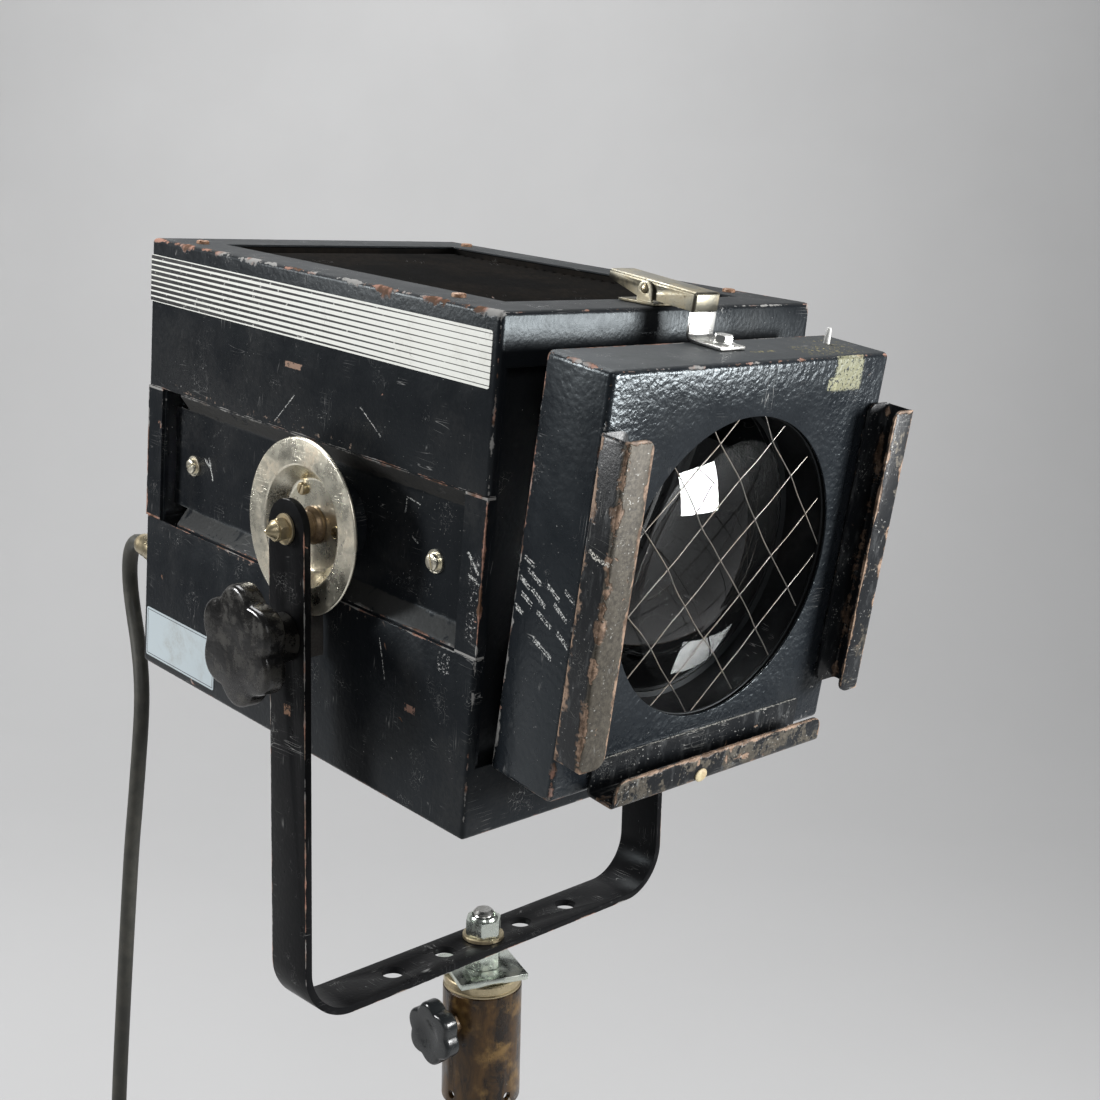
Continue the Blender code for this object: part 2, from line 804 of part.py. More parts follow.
def make_dish():
    turned(
        "tilt_dish",
        [
            (dish_radius - 0.0008, dish_face),
            (dish_radius, dish_face - 0.0006),
            (dish_radius, dish_face - dish_sheet),
            (dish_well_radius + 0.0012, dish_face - dish_sheet),
            (dish_floor_radius + 0.0010, dish_back),
            (pivot_radius + pivot_clearance, dish_back),
            (pivot_radius + pivot_clearance, dish_floor),
            (dish_floor_radius, dish_floor),
            (dish_floor_radius + 0.0022, dish_floor + 0.0012),
            (dish_well_radius - 0.0008, dish_face - 0.0012),
            (dish_well_radius + 0.0006, dish_face),
        ],
        rotation=TO_LEFT, material=nickel, parent=tilt_axis, steps=44,
    )
    bore = pivot_radius + pivot_clearance
    turned(
        "dish_boss",
        [(dish_boss_radius, dish_back - seat_gap), (dish_boss_radius, tray_face + seat_gap),
         (bore, tray_face + seat_gap), (bore, dish_back - seat_gap)],
        rotation=TO_LEFT, material=black_paint, parent=tilt_axis, steps=32,
    )
    bush_outer = arm_inner - seat_gap
    bush_inner = dish_floor + seat_gap
    turned(
        "pivot_bush",
        [(bush_radius - 0.001, bush_outer), (bush_radius, bush_outer - 0.001), (bush_radius, bush_inner + 0.003),
         (bush_radius + bush_flange, bush_inner + 0.002), (bush_radius + bush_flange, bush_inner), (bore, bush_inner),
         (bore, bush_outer)],
        rotation=TO_LEFT, material=brass, parent=tilt_axis, steps=32,
    )
    turned(
        "pivot_boss_right",
        [(right_boss_radius - 0.004, bush_outer), (right_boss_radius - 0.004, bush_outer - 0.010),
         (right_boss_radius, bush_outer - 0.014), (right_boss_radius, tray_face + seat_gap),
         (bore, tray_face + seat_gap), (bore, bush_outer)],
        rotation=TO_RIGHT, material=black_paint, parent=tilt_axis, steps=32,
    )


def make_pivot_bolt(name, rotation, tip):
    head_from = tray_back - seat_gap - pivot_head_height
    bolt = prism(name, pivot_head_across, pivot_head_height, (0, 0, 0), rotation, inner_steel, tilt_axis)
    bolt.location = Matrix.Rotation(rotation[1], 3, "Y") @ Vector((0, 0, head_from))
    shank_from = head_from + pivot_head_height / 2
    shank = rod(name + "_shank", pivot_radius, tip - shank_from, (0, 0, 0), rotation, parent=tilt_axis, sides=24)
    shank.location = Matrix.Rotation(rotation[1], 3, "Y") @ Vector((0, 0, shank_from))
    fuse(bolt, shank)


def make_acorn_nut(name, rotation):
    base = arm_outer + seat_gap
    hex_from = base + acorn_washer_height
    dome_from = hex_from + acorn_height
    turn = Matrix.Rotation(rotation[1], 3, "Y")
    nut = prism(name, acorn_across, acorn_height, turn @ Vector((0, 0, hex_from)), rotation, brass, tilt_axis,
                bevel=0.0004)
    dome_profile = [(0.0, dome_from + acorn_dome_height)]
    for step in range(1, 5):
        angle = math.radians(90 - 22.5 * step)
        dome_profile.append((acorn_across * 0.44 * math.cos(angle), dome_from + acorn_dome_height * math.sin(angle)))
    dome_profile.append((acorn_across * 0.44, hex_from + acorn_height / 2))
    dome_profile.append((0.0, hex_from + acorn_height / 2))
    dome = turned(name + "_dome", dome_profile, rotation=rotation, parent=tilt_axis, steps=24)
    washer = rod(name + "_washer", acorn_washer_radius, acorn_washer_height + 0.0002, turn @ Vector((0, 0, base)),
                 rotation, parent=tilt_axis, sides=24)
    fuse(nut, dome, washer)
    bore = rod(name + "_bore", pivot_radius + thread_clearance, dome_from - arm_inner + 0.001,
               turn @ Vector((0, 0, arm_inner)), rotation, parent=tilt_axis, sides=24)
    cut(nut, bore)


def make_pivots():
    make_dish()
    tip = arm_outer + seat_gap + acorn_washer_height + acorn_height + 0.0004
    for side, rotation in (("left", TO_LEFT), ("right", TO_RIGHT)):
        make_pivot_bolt(f"pivot_bolt_{side}", rotation, tip)
        make_acorn_nut(f"acorn_nut_{side}", rotation)


# Lamp housing

def make_covers():
    upper = folded_box(
        "top_cover", (-half_body, 0, upper_cover_from), (half_body, body_length, body_height),
        [(0, 0, -1)], body_corner, sheet, black_paint, body_corner_frame,
    )
    window = half_body - edge_return
    for name, where in (("top_front_window", 0.0), ("top_back_window", body_length)):
        cut(upper, box(name, (-window, where - 0.006, upper_cover_from - 0.02),
                       (window, where + 0.006, body_height - top_strip), parent=body_corner_frame))
    cut(upper, box("vent_window", (-vent_half_width, vent_from, body_height - 0.01),
                   (vent_half_width, vent_to, body_height + 0.01), parent=body_corner_frame))
    lower = folded_box(
        "bottom_cover", (-half_body, 0, 0), (half_body, body_length, lower_cover_height),
        [(0, 0, 1)], body_corner, sheet, black_paint, body_corner_frame,
    )
    cut(lower, box("bottom_front_window", (-window, -0.006, bottom_strip),
                   (window, 0.006, lower_cover_height + 0.02), parent=body_corner_frame))
    cut(lower, box("focus_slot", (-focus_slot_width / 2, focus_slot_from, -0.01),
                   (focus_slot_width / 2, focus_slot_to, 0.01), parent=body_corner_frame))
    slots = bmesh.new()
    for side in (-1, 1):
        for row in range(air_slot_count):
            block = bmesh.ops.create_cube(slots, size=1.0)["verts"]
            bmesh.ops.scale(slots, vec=(air_slot_length, air_slot_width, 0.02), verts=block)
            middle = (side * air_slot_from_middle, air_slot_from_front + row * air_slot_pitch, 0)
            bmesh.ops.translate(slots, vec=middle, verts=block)
    cut(lower, place("air_slots", slots, None, (0, 0, 0), UPRIGHT, body_corner_frame))
    gland_hole = rod("gland_hole", gland_radius * 0.75 + 0.0004, 0.03,
                     (-gland_across, body_length - 0.015, gland_height), TO_BACK, parent=body_corner_frame)
    cut(lower, gland_hole)


def make_post(name, side, end):
    """An angle post; side is -1 left or 1 right, end is 0 front or 1 back."""
    def at(x, y):
        return (side * x, y if end == 0 else body_length - y)

    outer = half_body - sheet - seat_gap
    front = sheet + seat_gap
    inner_side = outer - post_sheet
    angle = [at(outer, front + post_chamfer), at(outer, front + post_leg), at(inner_side, front + post_leg),
             at(inner_side, front + post_sheet), at(outer - post_front_leg, front + post_sheet),
             at(outer - post_front_leg, front), at(outer - post_chamfer, front)]
    height = body_height - 2 * sheet - 2 * post_end_gap
    post = plate(name, [angle], height, (0, 0, body_height / 2), material=black_paint, parent=body_corner_frame)
    skin = outer - post_sheet / 3
    pad = [at(half_body, 0), at(half_body, post_leg), at(skin, post_leg), at(skin, front + post_sheet / 3),
           at(half_body - edge_return, front + post_sheet / 3), at(half_body - edge_return, 0)]
    pad_height = upper_cover_from - lower_cover_height - 2 * seat_gap
    pad_middle = (upper_cover_from + lower_cover_height) / 2
    fuse(post, plate(name + "_pad", [pad], pad_height, (0, 0, pad_middle), parent=body_corner_frame))


def make_posts():
    for side, side_name in ((-1, "left"), (1, "right")):
        for end, end_name in ((0, "front"), (1, "back")):
            make_post(f"corner_post_{end_name}_{side_name}", side, end)


def make_side_tray(name, side):
    lip = half_body - tray_lip_depth
    low = tray_slope_from
    high = upper_cover_from - (tray_slope_from - lower_cover_height)
    path = [(side * lip, low - tray_tuck), (side * lip, low), (side * tray_face, low + tray_slope_height),
            (side * tray_face, high - tray_slope_height), (side * lip, high), (side * lip, high + tray_tuck)]
    end = sheet + seat_gap + post_leg + tray_end_gap
    width = body_length - 2 * end
    tray = bent_strip(name, path, width, sheet, (0, body_length / 2, 0), material=black_paint,
                      parent=body_corner_frame, offset=-1.0)
    for number, (from_z, to_z) in enumerate(((0.05, low + tray_slope_height - 0.0004),
                                             (high - tray_slope_height + 0.0004, 0.20))):
        notch = box(f"{name}_notch_{number}", (side * half_body - 0.02, body_length - end - tray_notch, from_z),
                    (side * half_body + 0.02, body_length, to_z), parent=body_corner_frame)
        cut(tray, notch)
    bore = rod(name + "_bore", pivot_radius + pivot_clearance, 0.03,
               (side * tray_face - 0.015, pivot_from_front, pivot_over_floor), TO_RIGHT,
               parent=body_corner_frame, sides=24)
    cut(tray, bore)


def make_panels():
    low = sheet + panel_edge_gap
    high = body_height - sheet - panel_edge_gap
    front = folded_box(
        "front_panel", (-panel_half_width, panel_recess, low), (panel_half_width, panel_recess + panel_return, high),
        [(0, 1, 0)], 0.0015, sheet, black_paint, body_corner_frame,
    )
    cut(front, rod("front_panel_hole", panel_hole_radius, 0.04, (0, -0.01, optical_height), TO_BACK,
                   parent=body_corner_frame, sides=40))
    back_low = lower_cover_height + panel_edge_gap
    folded_box(
        "back_panel", (-panel_half_width, body_length - panel_recess - panel_return, back_low),
        (panel_half_width, body_length - panel_recess, high),
        [(0, -1, 0)], 0.0015, sheet, black_paint, body_corner_frame,
    )


def make_louvres():
    top = body_height - sheet - seat_gap
    bottom = top - louvre_depth
    outer_x = vent_half_width + louvre_wall + seat_gap
    outer = (-outer_x, vent_from - louvre_wall, outer_x, vent_to + louvre_wall)
    inner_x = vent_half_width + seat_gap
    rim = [[(outer[0], outer[1]), (outer[2], outer[1]), (outer[2], outer[3]), (outer[0], outer[3])],
           [(-inner_x, vent_from), (inner_x, vent_from), (inner_x, vent_to), (-inner_x, vent_to)]]
    louvre = plate("louvre_panel", rim, louvre_depth, (0, 0, (top + bottom) / 2), material=louvre_paint,
                   parent=body_corner_frame)
    bm = bmesh.new()
    count = int((vent_to - vent_from - slat_width) / slat_pitch) + 1
    first = (vent_from + vent_to - (count - 1) * slat_pitch) / 2
    for number in range(count):
        slat = bmesh.ops.create_cube(bm, size=1.0)["verts"]
        bmesh.ops.scale(bm, vec=(2 * inner_x + louvre_wall, slat_width, slat_thickness), verts=slat)
        bmesh.ops.rotate(bm, cent=(0, 0, 0), matrix=Matrix.Rotation(slat_tilt, 3, "X"), verts=slat)
        middle = (0, first + number * slat_pitch, body_height - slat_drop)
        bmesh.ops.translate(bm, vec=middle, verts=slat)
    fuse(louvre, place("louvre_slats", bm, None, (0, 0, 0), UPRIGHT, body_corner_frame))


# Latch on the top edge

def make_latch():
    ear_inner = lever_half_width + 0.0004
    base_bottom = body_height + seat_gap
    base_top = base_bottom + latch_ear_thickness
    base = box("latch_base", (-latch_base_half_width, latch_base_from_front, base_bottom),
               (latch_base_half_width, latch_base_from_front + latch_base_length, base_top),
               latch_plate, body_corner_frame)
    pin_height = body_height + latch_pin_height
    for side in (-1, 1):
        half = latch_ear_width / 2
        foot = base_bottom + latch_ear_thickness / 2 - pin_height
        outline = [(-half, foot), (half, foot)] + arc(0, latch_ear_rise - half, half, 0, 180, 8)
        ear = plate(f"latch_ear_{side}", [outline], latch_ear_thickness,
                    (side * (ear_inner + latch_ear_thickness / 2), latch_pin_from_front, pin_height),
                    (math.pi / 2, 0, math.pi / 2), parent=body_corner_frame)
        fuse(base, ear)
    reach = ear_inner + latch_ear_thickness + 0.0012
    cut(base, rod("latch_pin_hole", latch_pin_radius + thread_clearance, 2.4 * reach,
                  (-1.2 * reach, latch_pin_from_front, pin_height), TO_RIGHT, parent=body_corner_frame, sides=16))
    rod("latch_pin", latch_pin_radius, 2 * reach, (-reach, latch_pin_from_front, pin_height), TO_RIGHT,
        brass, body_corner_frame, sides=16)


def make_lever():
    top = lever_top_over_pin
    bottom = top - lever_height
    tail = lever_length - lever_tab_reach
    lever = folded_box("latch_lever", (-lever_half_width, -lever_tab_reach, bottom),
                       (lever_half_width, tail, top), [(0, 0, -1), (0, 1, 0)], 0.0012, sheet, latch_plate,
                       latch_axis)
    low = bottom - 0.004
    slope = [(tail * 0.25, low), (tail * 0.25, bottom), (tail + 0.002, top - lever_tail_height), (tail + 0.002, low)]
    cut(lever, plate("lever_tail_slope", [slope], 4 * lever_half_width, rotation=(math.pi / 2, 0, math.pi / 2),
                     parent=latch_axis))
    cut(lever, rod("lever_pin_hole", latch_pin_radius + thread_clearance, 4 * lever_half_width,
                   (-2 * lever_half_width, 0, 0), TO_RIGHT, parent=latch_axis, sides=16))


# Lens box and what it carries, measured from its front lower edge

def make_lens_box():
    half = lens_box_width / 2
    lens_box = folded_box("lens_box", (-half, 0, 0), (half, lens_box_depth, lens_box_height), [(0, 1, 0)],
                          lens_box_corner, lens_box_wall, black_paint, door_frame)
    cut(lens_box, rod("aperture", aperture_radius, 0.02, (0, -0.01, aperture_height), TO_BACK,
                      parent=door_frame, sides=48))


def make_lens():
    curve = lens_curve_radius
    rise = curve - math.sqrt(curve ** 2 - lens_radius ** 2)
    edge_front = lens_seat_depth - lens_edge
    widest = math.asin(lens_radius / curve)
    rings = 6
    profile = [(curve * math.sin(widest * i / rings),
                -edge_front + rise - curve * (1 - math.cos(widest * i / rings))) for i in range(rings + 1)]
    profile += [(lens_radius, -lens_seat_depth), (0.0, -lens_seat_depth)]
    profile[0] = (0.0, profile[0][1])
    turned("lens", profile, (0, 0, aperture_height), TO_FRONT, lens_glass, door_frame, steps=48)
    bore = lens_radius + lens_clearance
    wall = bore + holder_wall
    front = -lens_box_wall - seat_gap
    stop = -edge_front + seat_gap
    turned(
        "lens_holder",
        [(wall + holder_flange, front), (wall + holder_flange, front - holder_wall), (wall, front - holder_wall),
         (wall, front - holder_length), (bore, front - holder_length), (bore, stop),
         (bore - holder_stop, stop + 0.0013), (bore, stop + 0.003),
         (bore, front)],
        (0, 0, aperture_height), TO_FRONT, inner_steel, door_frame, steps=48,
    )
    ring_radius = lens_radius - retainer_wire_radius
    centre = -lens_seat_depth - seat_gap - retainer_wire_radius
    turned("lens_retainer", [(ring_radius + retainer_wire_radius * math.cos(a), centre + retainer_wire_radius * math.sin(a))
                             for a in [math.radians(60 - 60 * i) for i in range(6)]],
           (0, 0, aperture_height), TO_FRONT, guard_wire_steel, door_frame, steps=36)


def make_guard():
    """Diamond mesh of flat wire inside a rim."""
    inner = guard_radius - guard_rim
    bm = bmesh.new()
    rows = int(2 * guard_radius / guard_pitch_up) + 2
    columns = int(2 * guard_radius / guard_pitch_across) + 2
    half_w, half_h = guard_pitch_across / 2, guard_pitch_up / 2
    for row in range(-rows, rows + 1):
        for column in range(-columns, columns + 1):
            if (row + column) % 2:
                continue
            x, z = column * half_w, row * half_h
            if math.hypot(abs(x) - half_w, abs(z) - half_h) > guard_radius + guard_pitch_up:
                continue
            corners = [(x - half_w, z), (x, z - half_h), (x + half_w, z), (x, z + half_h)]
            bm.faces.new([bm.verts.new((cx, cz, 0)) for cx, cz in corners])
    bmesh.ops.remove_doubles(bm, verts=bm.verts, dist=0.00001)
    bmesh.ops.inset_individual(bm, faces=bm.faces, thickness=guard_wire / 2)
    openings = [f for f in bm.faces if all(len(v.link_faces) < 5 for v in f.verts) and len(f.verts) == 4
                and f.calc_area() > guard_pitch_up * guard_pitch_across * 0.3]
    bmesh.ops.delete(bm, geom=openings, context="FACES")
    mesh = place("wire_guard", bm, guard_wire_steel, (0, guard_set_back + guard_wire, aperture_height), TO_FRONT,
                 door_frame)
    add_wall(mesh, guard_wire, 0.0)
    disc = rod("guard_disc", inner + guard_rim / 2, 0.01, (0, guard_set_back + guard_wire + 0.005, aperture_height), TO_FRONT,
               parent=door_frame, sides=48)
    combine(mesh, disc, "INTERSECT")
    middle = -guard_set_back - guard_wire
    half = guard_wire * 0.9
    rim = turned("guard_rim", [(guard_radius, middle + half), (guard_radius, middle - half), (inner, middle - half),
                               (inner, middle + half)], (0, 0, aperture_height), TO_FRONT, None, door_frame, steps=48)
    fuse(mesh, rim)


def make_side_runner(name, side):
    half_sheet = runner_sheet / 2
    back = runner_stand_off - half_sheet
    front = runner_depth - half_sheet
    outer = runner_reach - half_sheet
    inner = runner_reach - runner_lip
    path = [(side * inner, back), (side * outer, back), (side * outer, front), (side * inner, front)]
    length = runner_to - runner_from
    middle = (runner_to + runner_from) / 2
    runner = bent_strip(name, path, length, runner_sheet, (0, 0, middle), TO_FRONT, runner_steel, door_frame)
    pads = []
    for number, height in enumerate((runner_from + runner_pad * 2, runner_to - runner_pad * 2)):
        pads.append(rod(f"{name}_pad_{number}", runner_pad / 2, back - seat_gap,
                        (side * (lens_box_width / 2 - runner_pad), -seat_gap, height), TO_FRONT,
                        parent=door_frame, sides=12))
    fuse(runner, *pads)


def make_bottom_runner():
    low = -bottom_runner_drop
    half_sheet = runner_sheet / 2
    length = 2 * bottom_runner_half_length
    path = [(seat_gap + half_sheet, low + bottom_runner_back_lip), (seat_gap + half_sheet, low + half_sheet),
            (runner_depth - half_sheet, low + half_sheet), (runner_depth - half_sheet, low + bottom_runner_lip)]
    runner = bent_strip("frame_runner_bottom", path, length, runner_sheet, (0, 0, 0), (0, 0, -math.pi / 2),
                        runner_steel, door_frame)
    reach = bottom_runner_half_length
    outline = arc(reach - bottom_runner_corner, low + bottom_runner_lip - bottom_runner_corner,
                  bottom_runner_corner, 0, 90, 4)
    outline += [(-x, z) for x, z in reversed(outline)]
    outline += [(-reach, low - 0.002), (reach, low - 0.002)]
    front = plate("bottom_runner_outline", [outline], 2 * runner_depth, (0, -1.5 * runner_depth, 0),
                  (math.pi / 2, 0, 0), parent=door_frame)
    back = box("bottom_runner_back", (-reach, -0.55 * runner_depth, low - 0.002),
               (reach, 0.001, low + bottom_runner_back_lip + 0.001), parent=door_frame)
    fuse(front, back)
    combine(runner, front, "INTERSECT")


def make_catch_strap():
    top = lens_box_height + seat_gap
    half_sheet = strap_sheet / 2
    back = lens_box_depth + strap_behind_box - half_sheet
    tab_y, tab_z = lever_tab_in_door_frame()
    path = [(-(back - strap_foot), top + half_sheet)]
    path += arc(-(back - 0.0030), top + half_sheet + 0.0030, 0.0030, 270, 180, 4)
    path += [(-back, tab_z - strap_tip_gap)]
    bent_strip("catch_strap", path, 2 * strap_half_width, strap_sheet, (0, 0, 0), (0, 0, -math.pi / 2),
               latch_plate, door_frame)


def lever_tab_in_door_frame():
    """The lever tab's lower back edge, as the closed lens box sees it."""
    incline = Matrix.Rotation(lever_incline, 3, "X")
    lean = Matrix.Rotation(-lens_box_lean, 3, "X")
    tab = incline @ Vector((0, -lever_tab_reach + sheet, lever_top_over_pin - lever_height))
    tab += Vector((0, latch_pin_from_front, body_height + latch_pin_height))
    seen = lean @ (tab - Vector(door_axis_place))
    return seen.y + lens_box_depth, seen.z - hinge_drop


# Hinge under the lens box

def make_hinge():
    axis_y, axis_z = door_axis_place[1], door_axis_place[2]
    barrel = hinge_barrel_radius
    leaf_back = -seat_gap
    leaf = box("hinge_leaf", (-hinge_half_length, leaf_back - hinge_leaf_thickness, axis_z - hinge_leaf_drop),
               (hinge_half_length, leaf_back, axis_z - 0.002), black_paint, body_corner_frame)
    bore = hinge_pin_radius + thread_clearance
    knuckle_length = hinge_half_length - hinge_middle_half - seat_gap
    for side in (-1, 1):
        start = hinge_middle_half + seat_gap if side > 0 else -hinge_half_length
        knuckle = rod(f"hinge_knuckle_{side}", barrel, knuckle_length, (start, axis_y, axis_z), TO_RIGHT,
                      parent=body_corner_frame, sides=20)
        bridge = box(f"hinge_bridge_{side}", (start, axis_y, axis_z - 0.0042),
                     (start + knuckle_length, leaf_back - 0.0004, axis_z - 0.0008), parent=body_corner_frame)
        fuse(leaf, knuckle, bridge)
    reach = 2.4 * hinge_half_length
    cut(leaf, rod("hinge_leaf_bore", bore, reach, (-reach / 2, axis_y, axis_z), TO_RIGHT,
                  parent=body_corner_frame, sides=20))
    rod("hinge_pin", hinge_pin_radius, 2 * hinge_half_length, (-hinge_half_length, axis_y, axis_z), TO_RIGHT,
        inner_steel, body_corner_frame, sides=20)
    door_leaf = box("hinge_door_leaf",
                    (-hinge_middle_half * 2.4, lens_box_depth - barrel - 0.0008 - hinge_door_leaf_length,
                     -seat_gap - hinge_leaf_thickness),
                    (hinge_middle_half * 2.4, lens_box_depth - barrel - 0.0008, -seat_gap), black_paint, door_frame)
    middle = rod("hinge_middle_knuckle", barrel, 2 * hinge_middle_half, (-hinge_middle_half, lens_box_depth, -hinge_drop),
                 TO_RIGHT, parent=door_frame, sides=20)
    tongue = box("hinge_tongue", (-hinge_middle_half, lens_box_depth - barrel - 0.004, -hinge_drop - 0.0006),
                 (hinge_middle_half, lens_box_depth - 0.0002, -seat_gap - 0.0002), parent=door_frame)
    fuse(door_leaf, middle, tongue)
    cut(door_leaf, rod("hinge_door_bore", bore, reach, (-reach / 2, lens_box_depth, -hinge_drop), TO_RIGHT,
                       parent=door_frame, sides=20))


# Lamp carriage

def make_rails():
    start = panel_recess + sheet + seat_gap
    length = body_length - sheet - seat_gap - start
    for side, side_name in ((-1, "left"), (1, "right")):
        rod(f"focus_rail_{side_name}", rail_radius, length, (side * rail_half_spacing, start, rail_height),
            TO_BACK, inner_steel, body_corner_frame, sides=20)


def make_carriage():
    plate_bottom = rail_height + carriage_shoe / 2 - 0.0005
    plate_top = plate_bottom + carriage_plate
    tray = box("lamp_tray", (-carriage_half_width, carriage_from, plate_bottom),
               (carriage_half_width, carriage_to, plate_top), inner_steel, body_corner_frame)
    for side in (-1, 1):
        shoe = box(f"tray_shoe_{side}",
                   (side * rail_half_spacing - carriage_shoe / 2, carriage_from + 0.002, rail_height - carriage_shoe / 2),
                   (side * rail_half_spacing + carriage_shoe / 2, carriage_to - 0.002, plate_bottom + carriage_plate / 2),
                   parent=body_corner_frame)
        fuse(tray, shoe)
    for side in (-1, 1):
        cut(tray, rod(f"tray_bore_{side}", rail_radius + thread_clearance, body_length,
                      (side * rail_half_spacing, 0, rail_height), TO_BACK, parent=body_corner_frame, sides=20))
    block_bottom = plate_top + seat_gap
    block_top = block_bottom + holder_block_height
    block = box("lamp_holder", (-holder_block_width / 2, lamp_from_front - holder_block_depth / 2, block_bottom),
                (holder_block_width / 2, lamp_from_front + holder_block_depth / 2, block_top), ceramic,
                body_corner_frame, bevel=0.002)
    cut(block, box("lamp_holder_waist", (-holder_block_width, lamp_from_front - 0.006, block_bottom + 0.012),
                   (holder_block_width, lamp_from_front + 0.006, block_bottom + 0.024), parent=body_corner_frame))
    lamp_bottom = block_top + seat_gap
    glass = lamp_radius
    turned(
        "lamp",
        [(0.0, lamp_bottom + lamp_height), (glass * 0.5, lamp_bottom + lamp_height - 0.0012),
         (glass * 0.9, lamp_bottom + lamp_height - 0.006), (glass, lamp_bottom + lamp_height - 0.012),
         (glass, lamp_bottom + 0.026), (glass * 0.75, lamp_bottom + 0.018), (glass * 1.05, lamp_bottom + 0.016),
         (glass * 1.05, lamp_bottom), (0.0, lamp_bottom)],
        (0, lamp_from_front, 0), UPRIGHT, lamp_glass, body_corner_frame, steps=24,
    )
    filament = lamp_bottom + lamp_filament_height
    steps = 6
    outer_radius = reflector_radius + reflector_sheet
    bowl = [(outer_radius * math.sin(reflector_half_angle * i / steps),
             outer_radius * math.cos(reflector_half_angle * i / steps)) for i in range(steps + 1)]
    inner = [(reflector_radius * math.sin(reflector_half_angle * i / steps),
              reflector_radius * math.cos(reflector_half_angle * i / steps)) for i in range(steps, -1, -1)]
    bowl[0] = (0.0, outer_radius)
    inner[-1] = (0.0, reflector_radius)
    reflector = turned("reflector", bowl + inner, (0, lamp_from_front, filament), TO_BACK, mirror,
                       body_corner_frame, steps=32)
    stem_y = lamp_from_front + outer_radius * 0.94
    stem = box("reflector_stem", (-reflector_stem_half_width, stem_y - 0.002, block_bottom),
               (reflector_stem_half_width, stem_y + 0.0005, filament - outer_radius * 0.2), parent=body_corner_frame)
    stem_clear = rod("reflector_stem_trim", reflector_radius + 0.0004, 2 * reflector_radius,
                     (-reflector_radius, lamp_from_front, filament), TO_RIGHT, parent=body_corner_frame)
    cut(stem, stem_clear)
    fuse(reflector, stem)
    knob_top = -focus_knob_drop
    knob = turned(
        "focus_knob",
        [(focus_stem_radius, plate_bottom - seat_gap), (focus_stem_radius, knob_top),
         (focus_knob_radius * 0.8, knob_top), (focus_knob_radius, knob_top - 0.003),
         (focus_knob_radius, knob_top - focus_knob_height + 0.002), (focus_knob_radius - 0.002, knob_top - focus_knob_height),
         (0.0, knob_top - focus_knob_height)],
        (0, lamp_from_front, 0), UPRIGHT, bakelite, body_corner_frame, steps=24,
    )
    close_top(knob, plate_bottom - seat_gap)


def close_top(obj, height):
    """Adds the profile point that closes a turned piece on its axis."""
    bm = bmesh.new()
    bm.from_mesh(obj.data)
    bm.verts.ensure_lookup_table()
    for edge in [e for e in bm.edges if e.calc_length() > 0 and {v.index for v in e.verts} == {0, len(bm.verts) - 1}]:
        bm.edges.remove(edge)
    tip = bm.verts.new((0.0, 0.0, height))
    bm.verts.ensure_lookup_table()
    bm.edges.new((tip, bm.verts[0]))
    bm.to_mesh(obj.data)
    bm.free()


# Supply cable, from the gland to the plug

cable_route = [
    (-0.0957, 0.2150, 0.3086), (-0.0940, 0.2230, 0.3045), (-0.0924, 0.2295, 0.2965),
    (-0.0912, 0.2330, 0.2860), (-0.0910, 0.2325, 0.2735), (-0.0917, 0.2282, 0.2592), (-0.0933, 0.2215, 0.2445),
    (-0.0957, 0.2145, 0.2290), (-0.0982, 0.2095, 0.2130), (-0.1008, 0.2070, 0.1940), (-0.1038, 0.2065, 0.1668),
    (-0.1058, 0.2082, 0.1390), (-0.1074, 0.2110, 0.1090), (-0.1094, 0.2170, 0.0450), (-0.1110, 0.2220, -0.0116),
    (-0.1124, 0.2255, -0.0585), (-0.1130, 0.2272, -0.0900), (-0.1132, 0.2278, -0.1150), (-0.1132, 0.2280, -0.1400),
]


def catmull_rom(points, steps):
    """A smooth curve through points, with its tangents kept at both ends."""
    padded = [points[0] * 2 - points[1]] + points + [points[-1] * 2 - points[-2]]
    path = []
    for i in range(1, len(padded) - 2):
        a, b, c, d = padded[i - 1:i + 3]
        for step in range(steps):
            t = step / steps
            path.append(0.5 * ((2 * b) + (c - a) * t + (2 * a - 5 * b + 4 * c - d) * t ** 2
                               + (3 * b - a - 3 * c + d) * t ** 3))
    return path + [points[-1]]


def make_gland():
    bore = cable_radius + gland_bore_clearance
    gland = turned(
        "cable_gland",
        [(gland_radius * 0.72, gland_length), (gland_radius * 0.9, gland_length - 0.003),
         (gland_radius * 0.9, gland_length - 0.011), (gland_radius, gland_length - 0.012), (gland_radius, seat_gap),
         (gland_radius * 0.75, seat_gap), (gland_radius * 0.75, -0.010), (bore, -0.010), (bore, gland_length)],
        (-gland_across, body_length, gland_height), TO_BACK, brass, body_corner_frame, steps=32,
    )
    return gland


def make_cable():
    start = body_corner_frame.matrix_world @ Vector((-gland_across, body_length - 0.008, gland_height))
    leave = body_corner_frame.matrix_world @ Vector((-gland_across, body_length + gland_length + 0.0006, gland_height))
    route = [leave] + [Vector(point) for point in cable_route]
    tube("cable", [start] + catmull_rom(route, 2), cable_radius, cable_rubber)
    return route[-1]


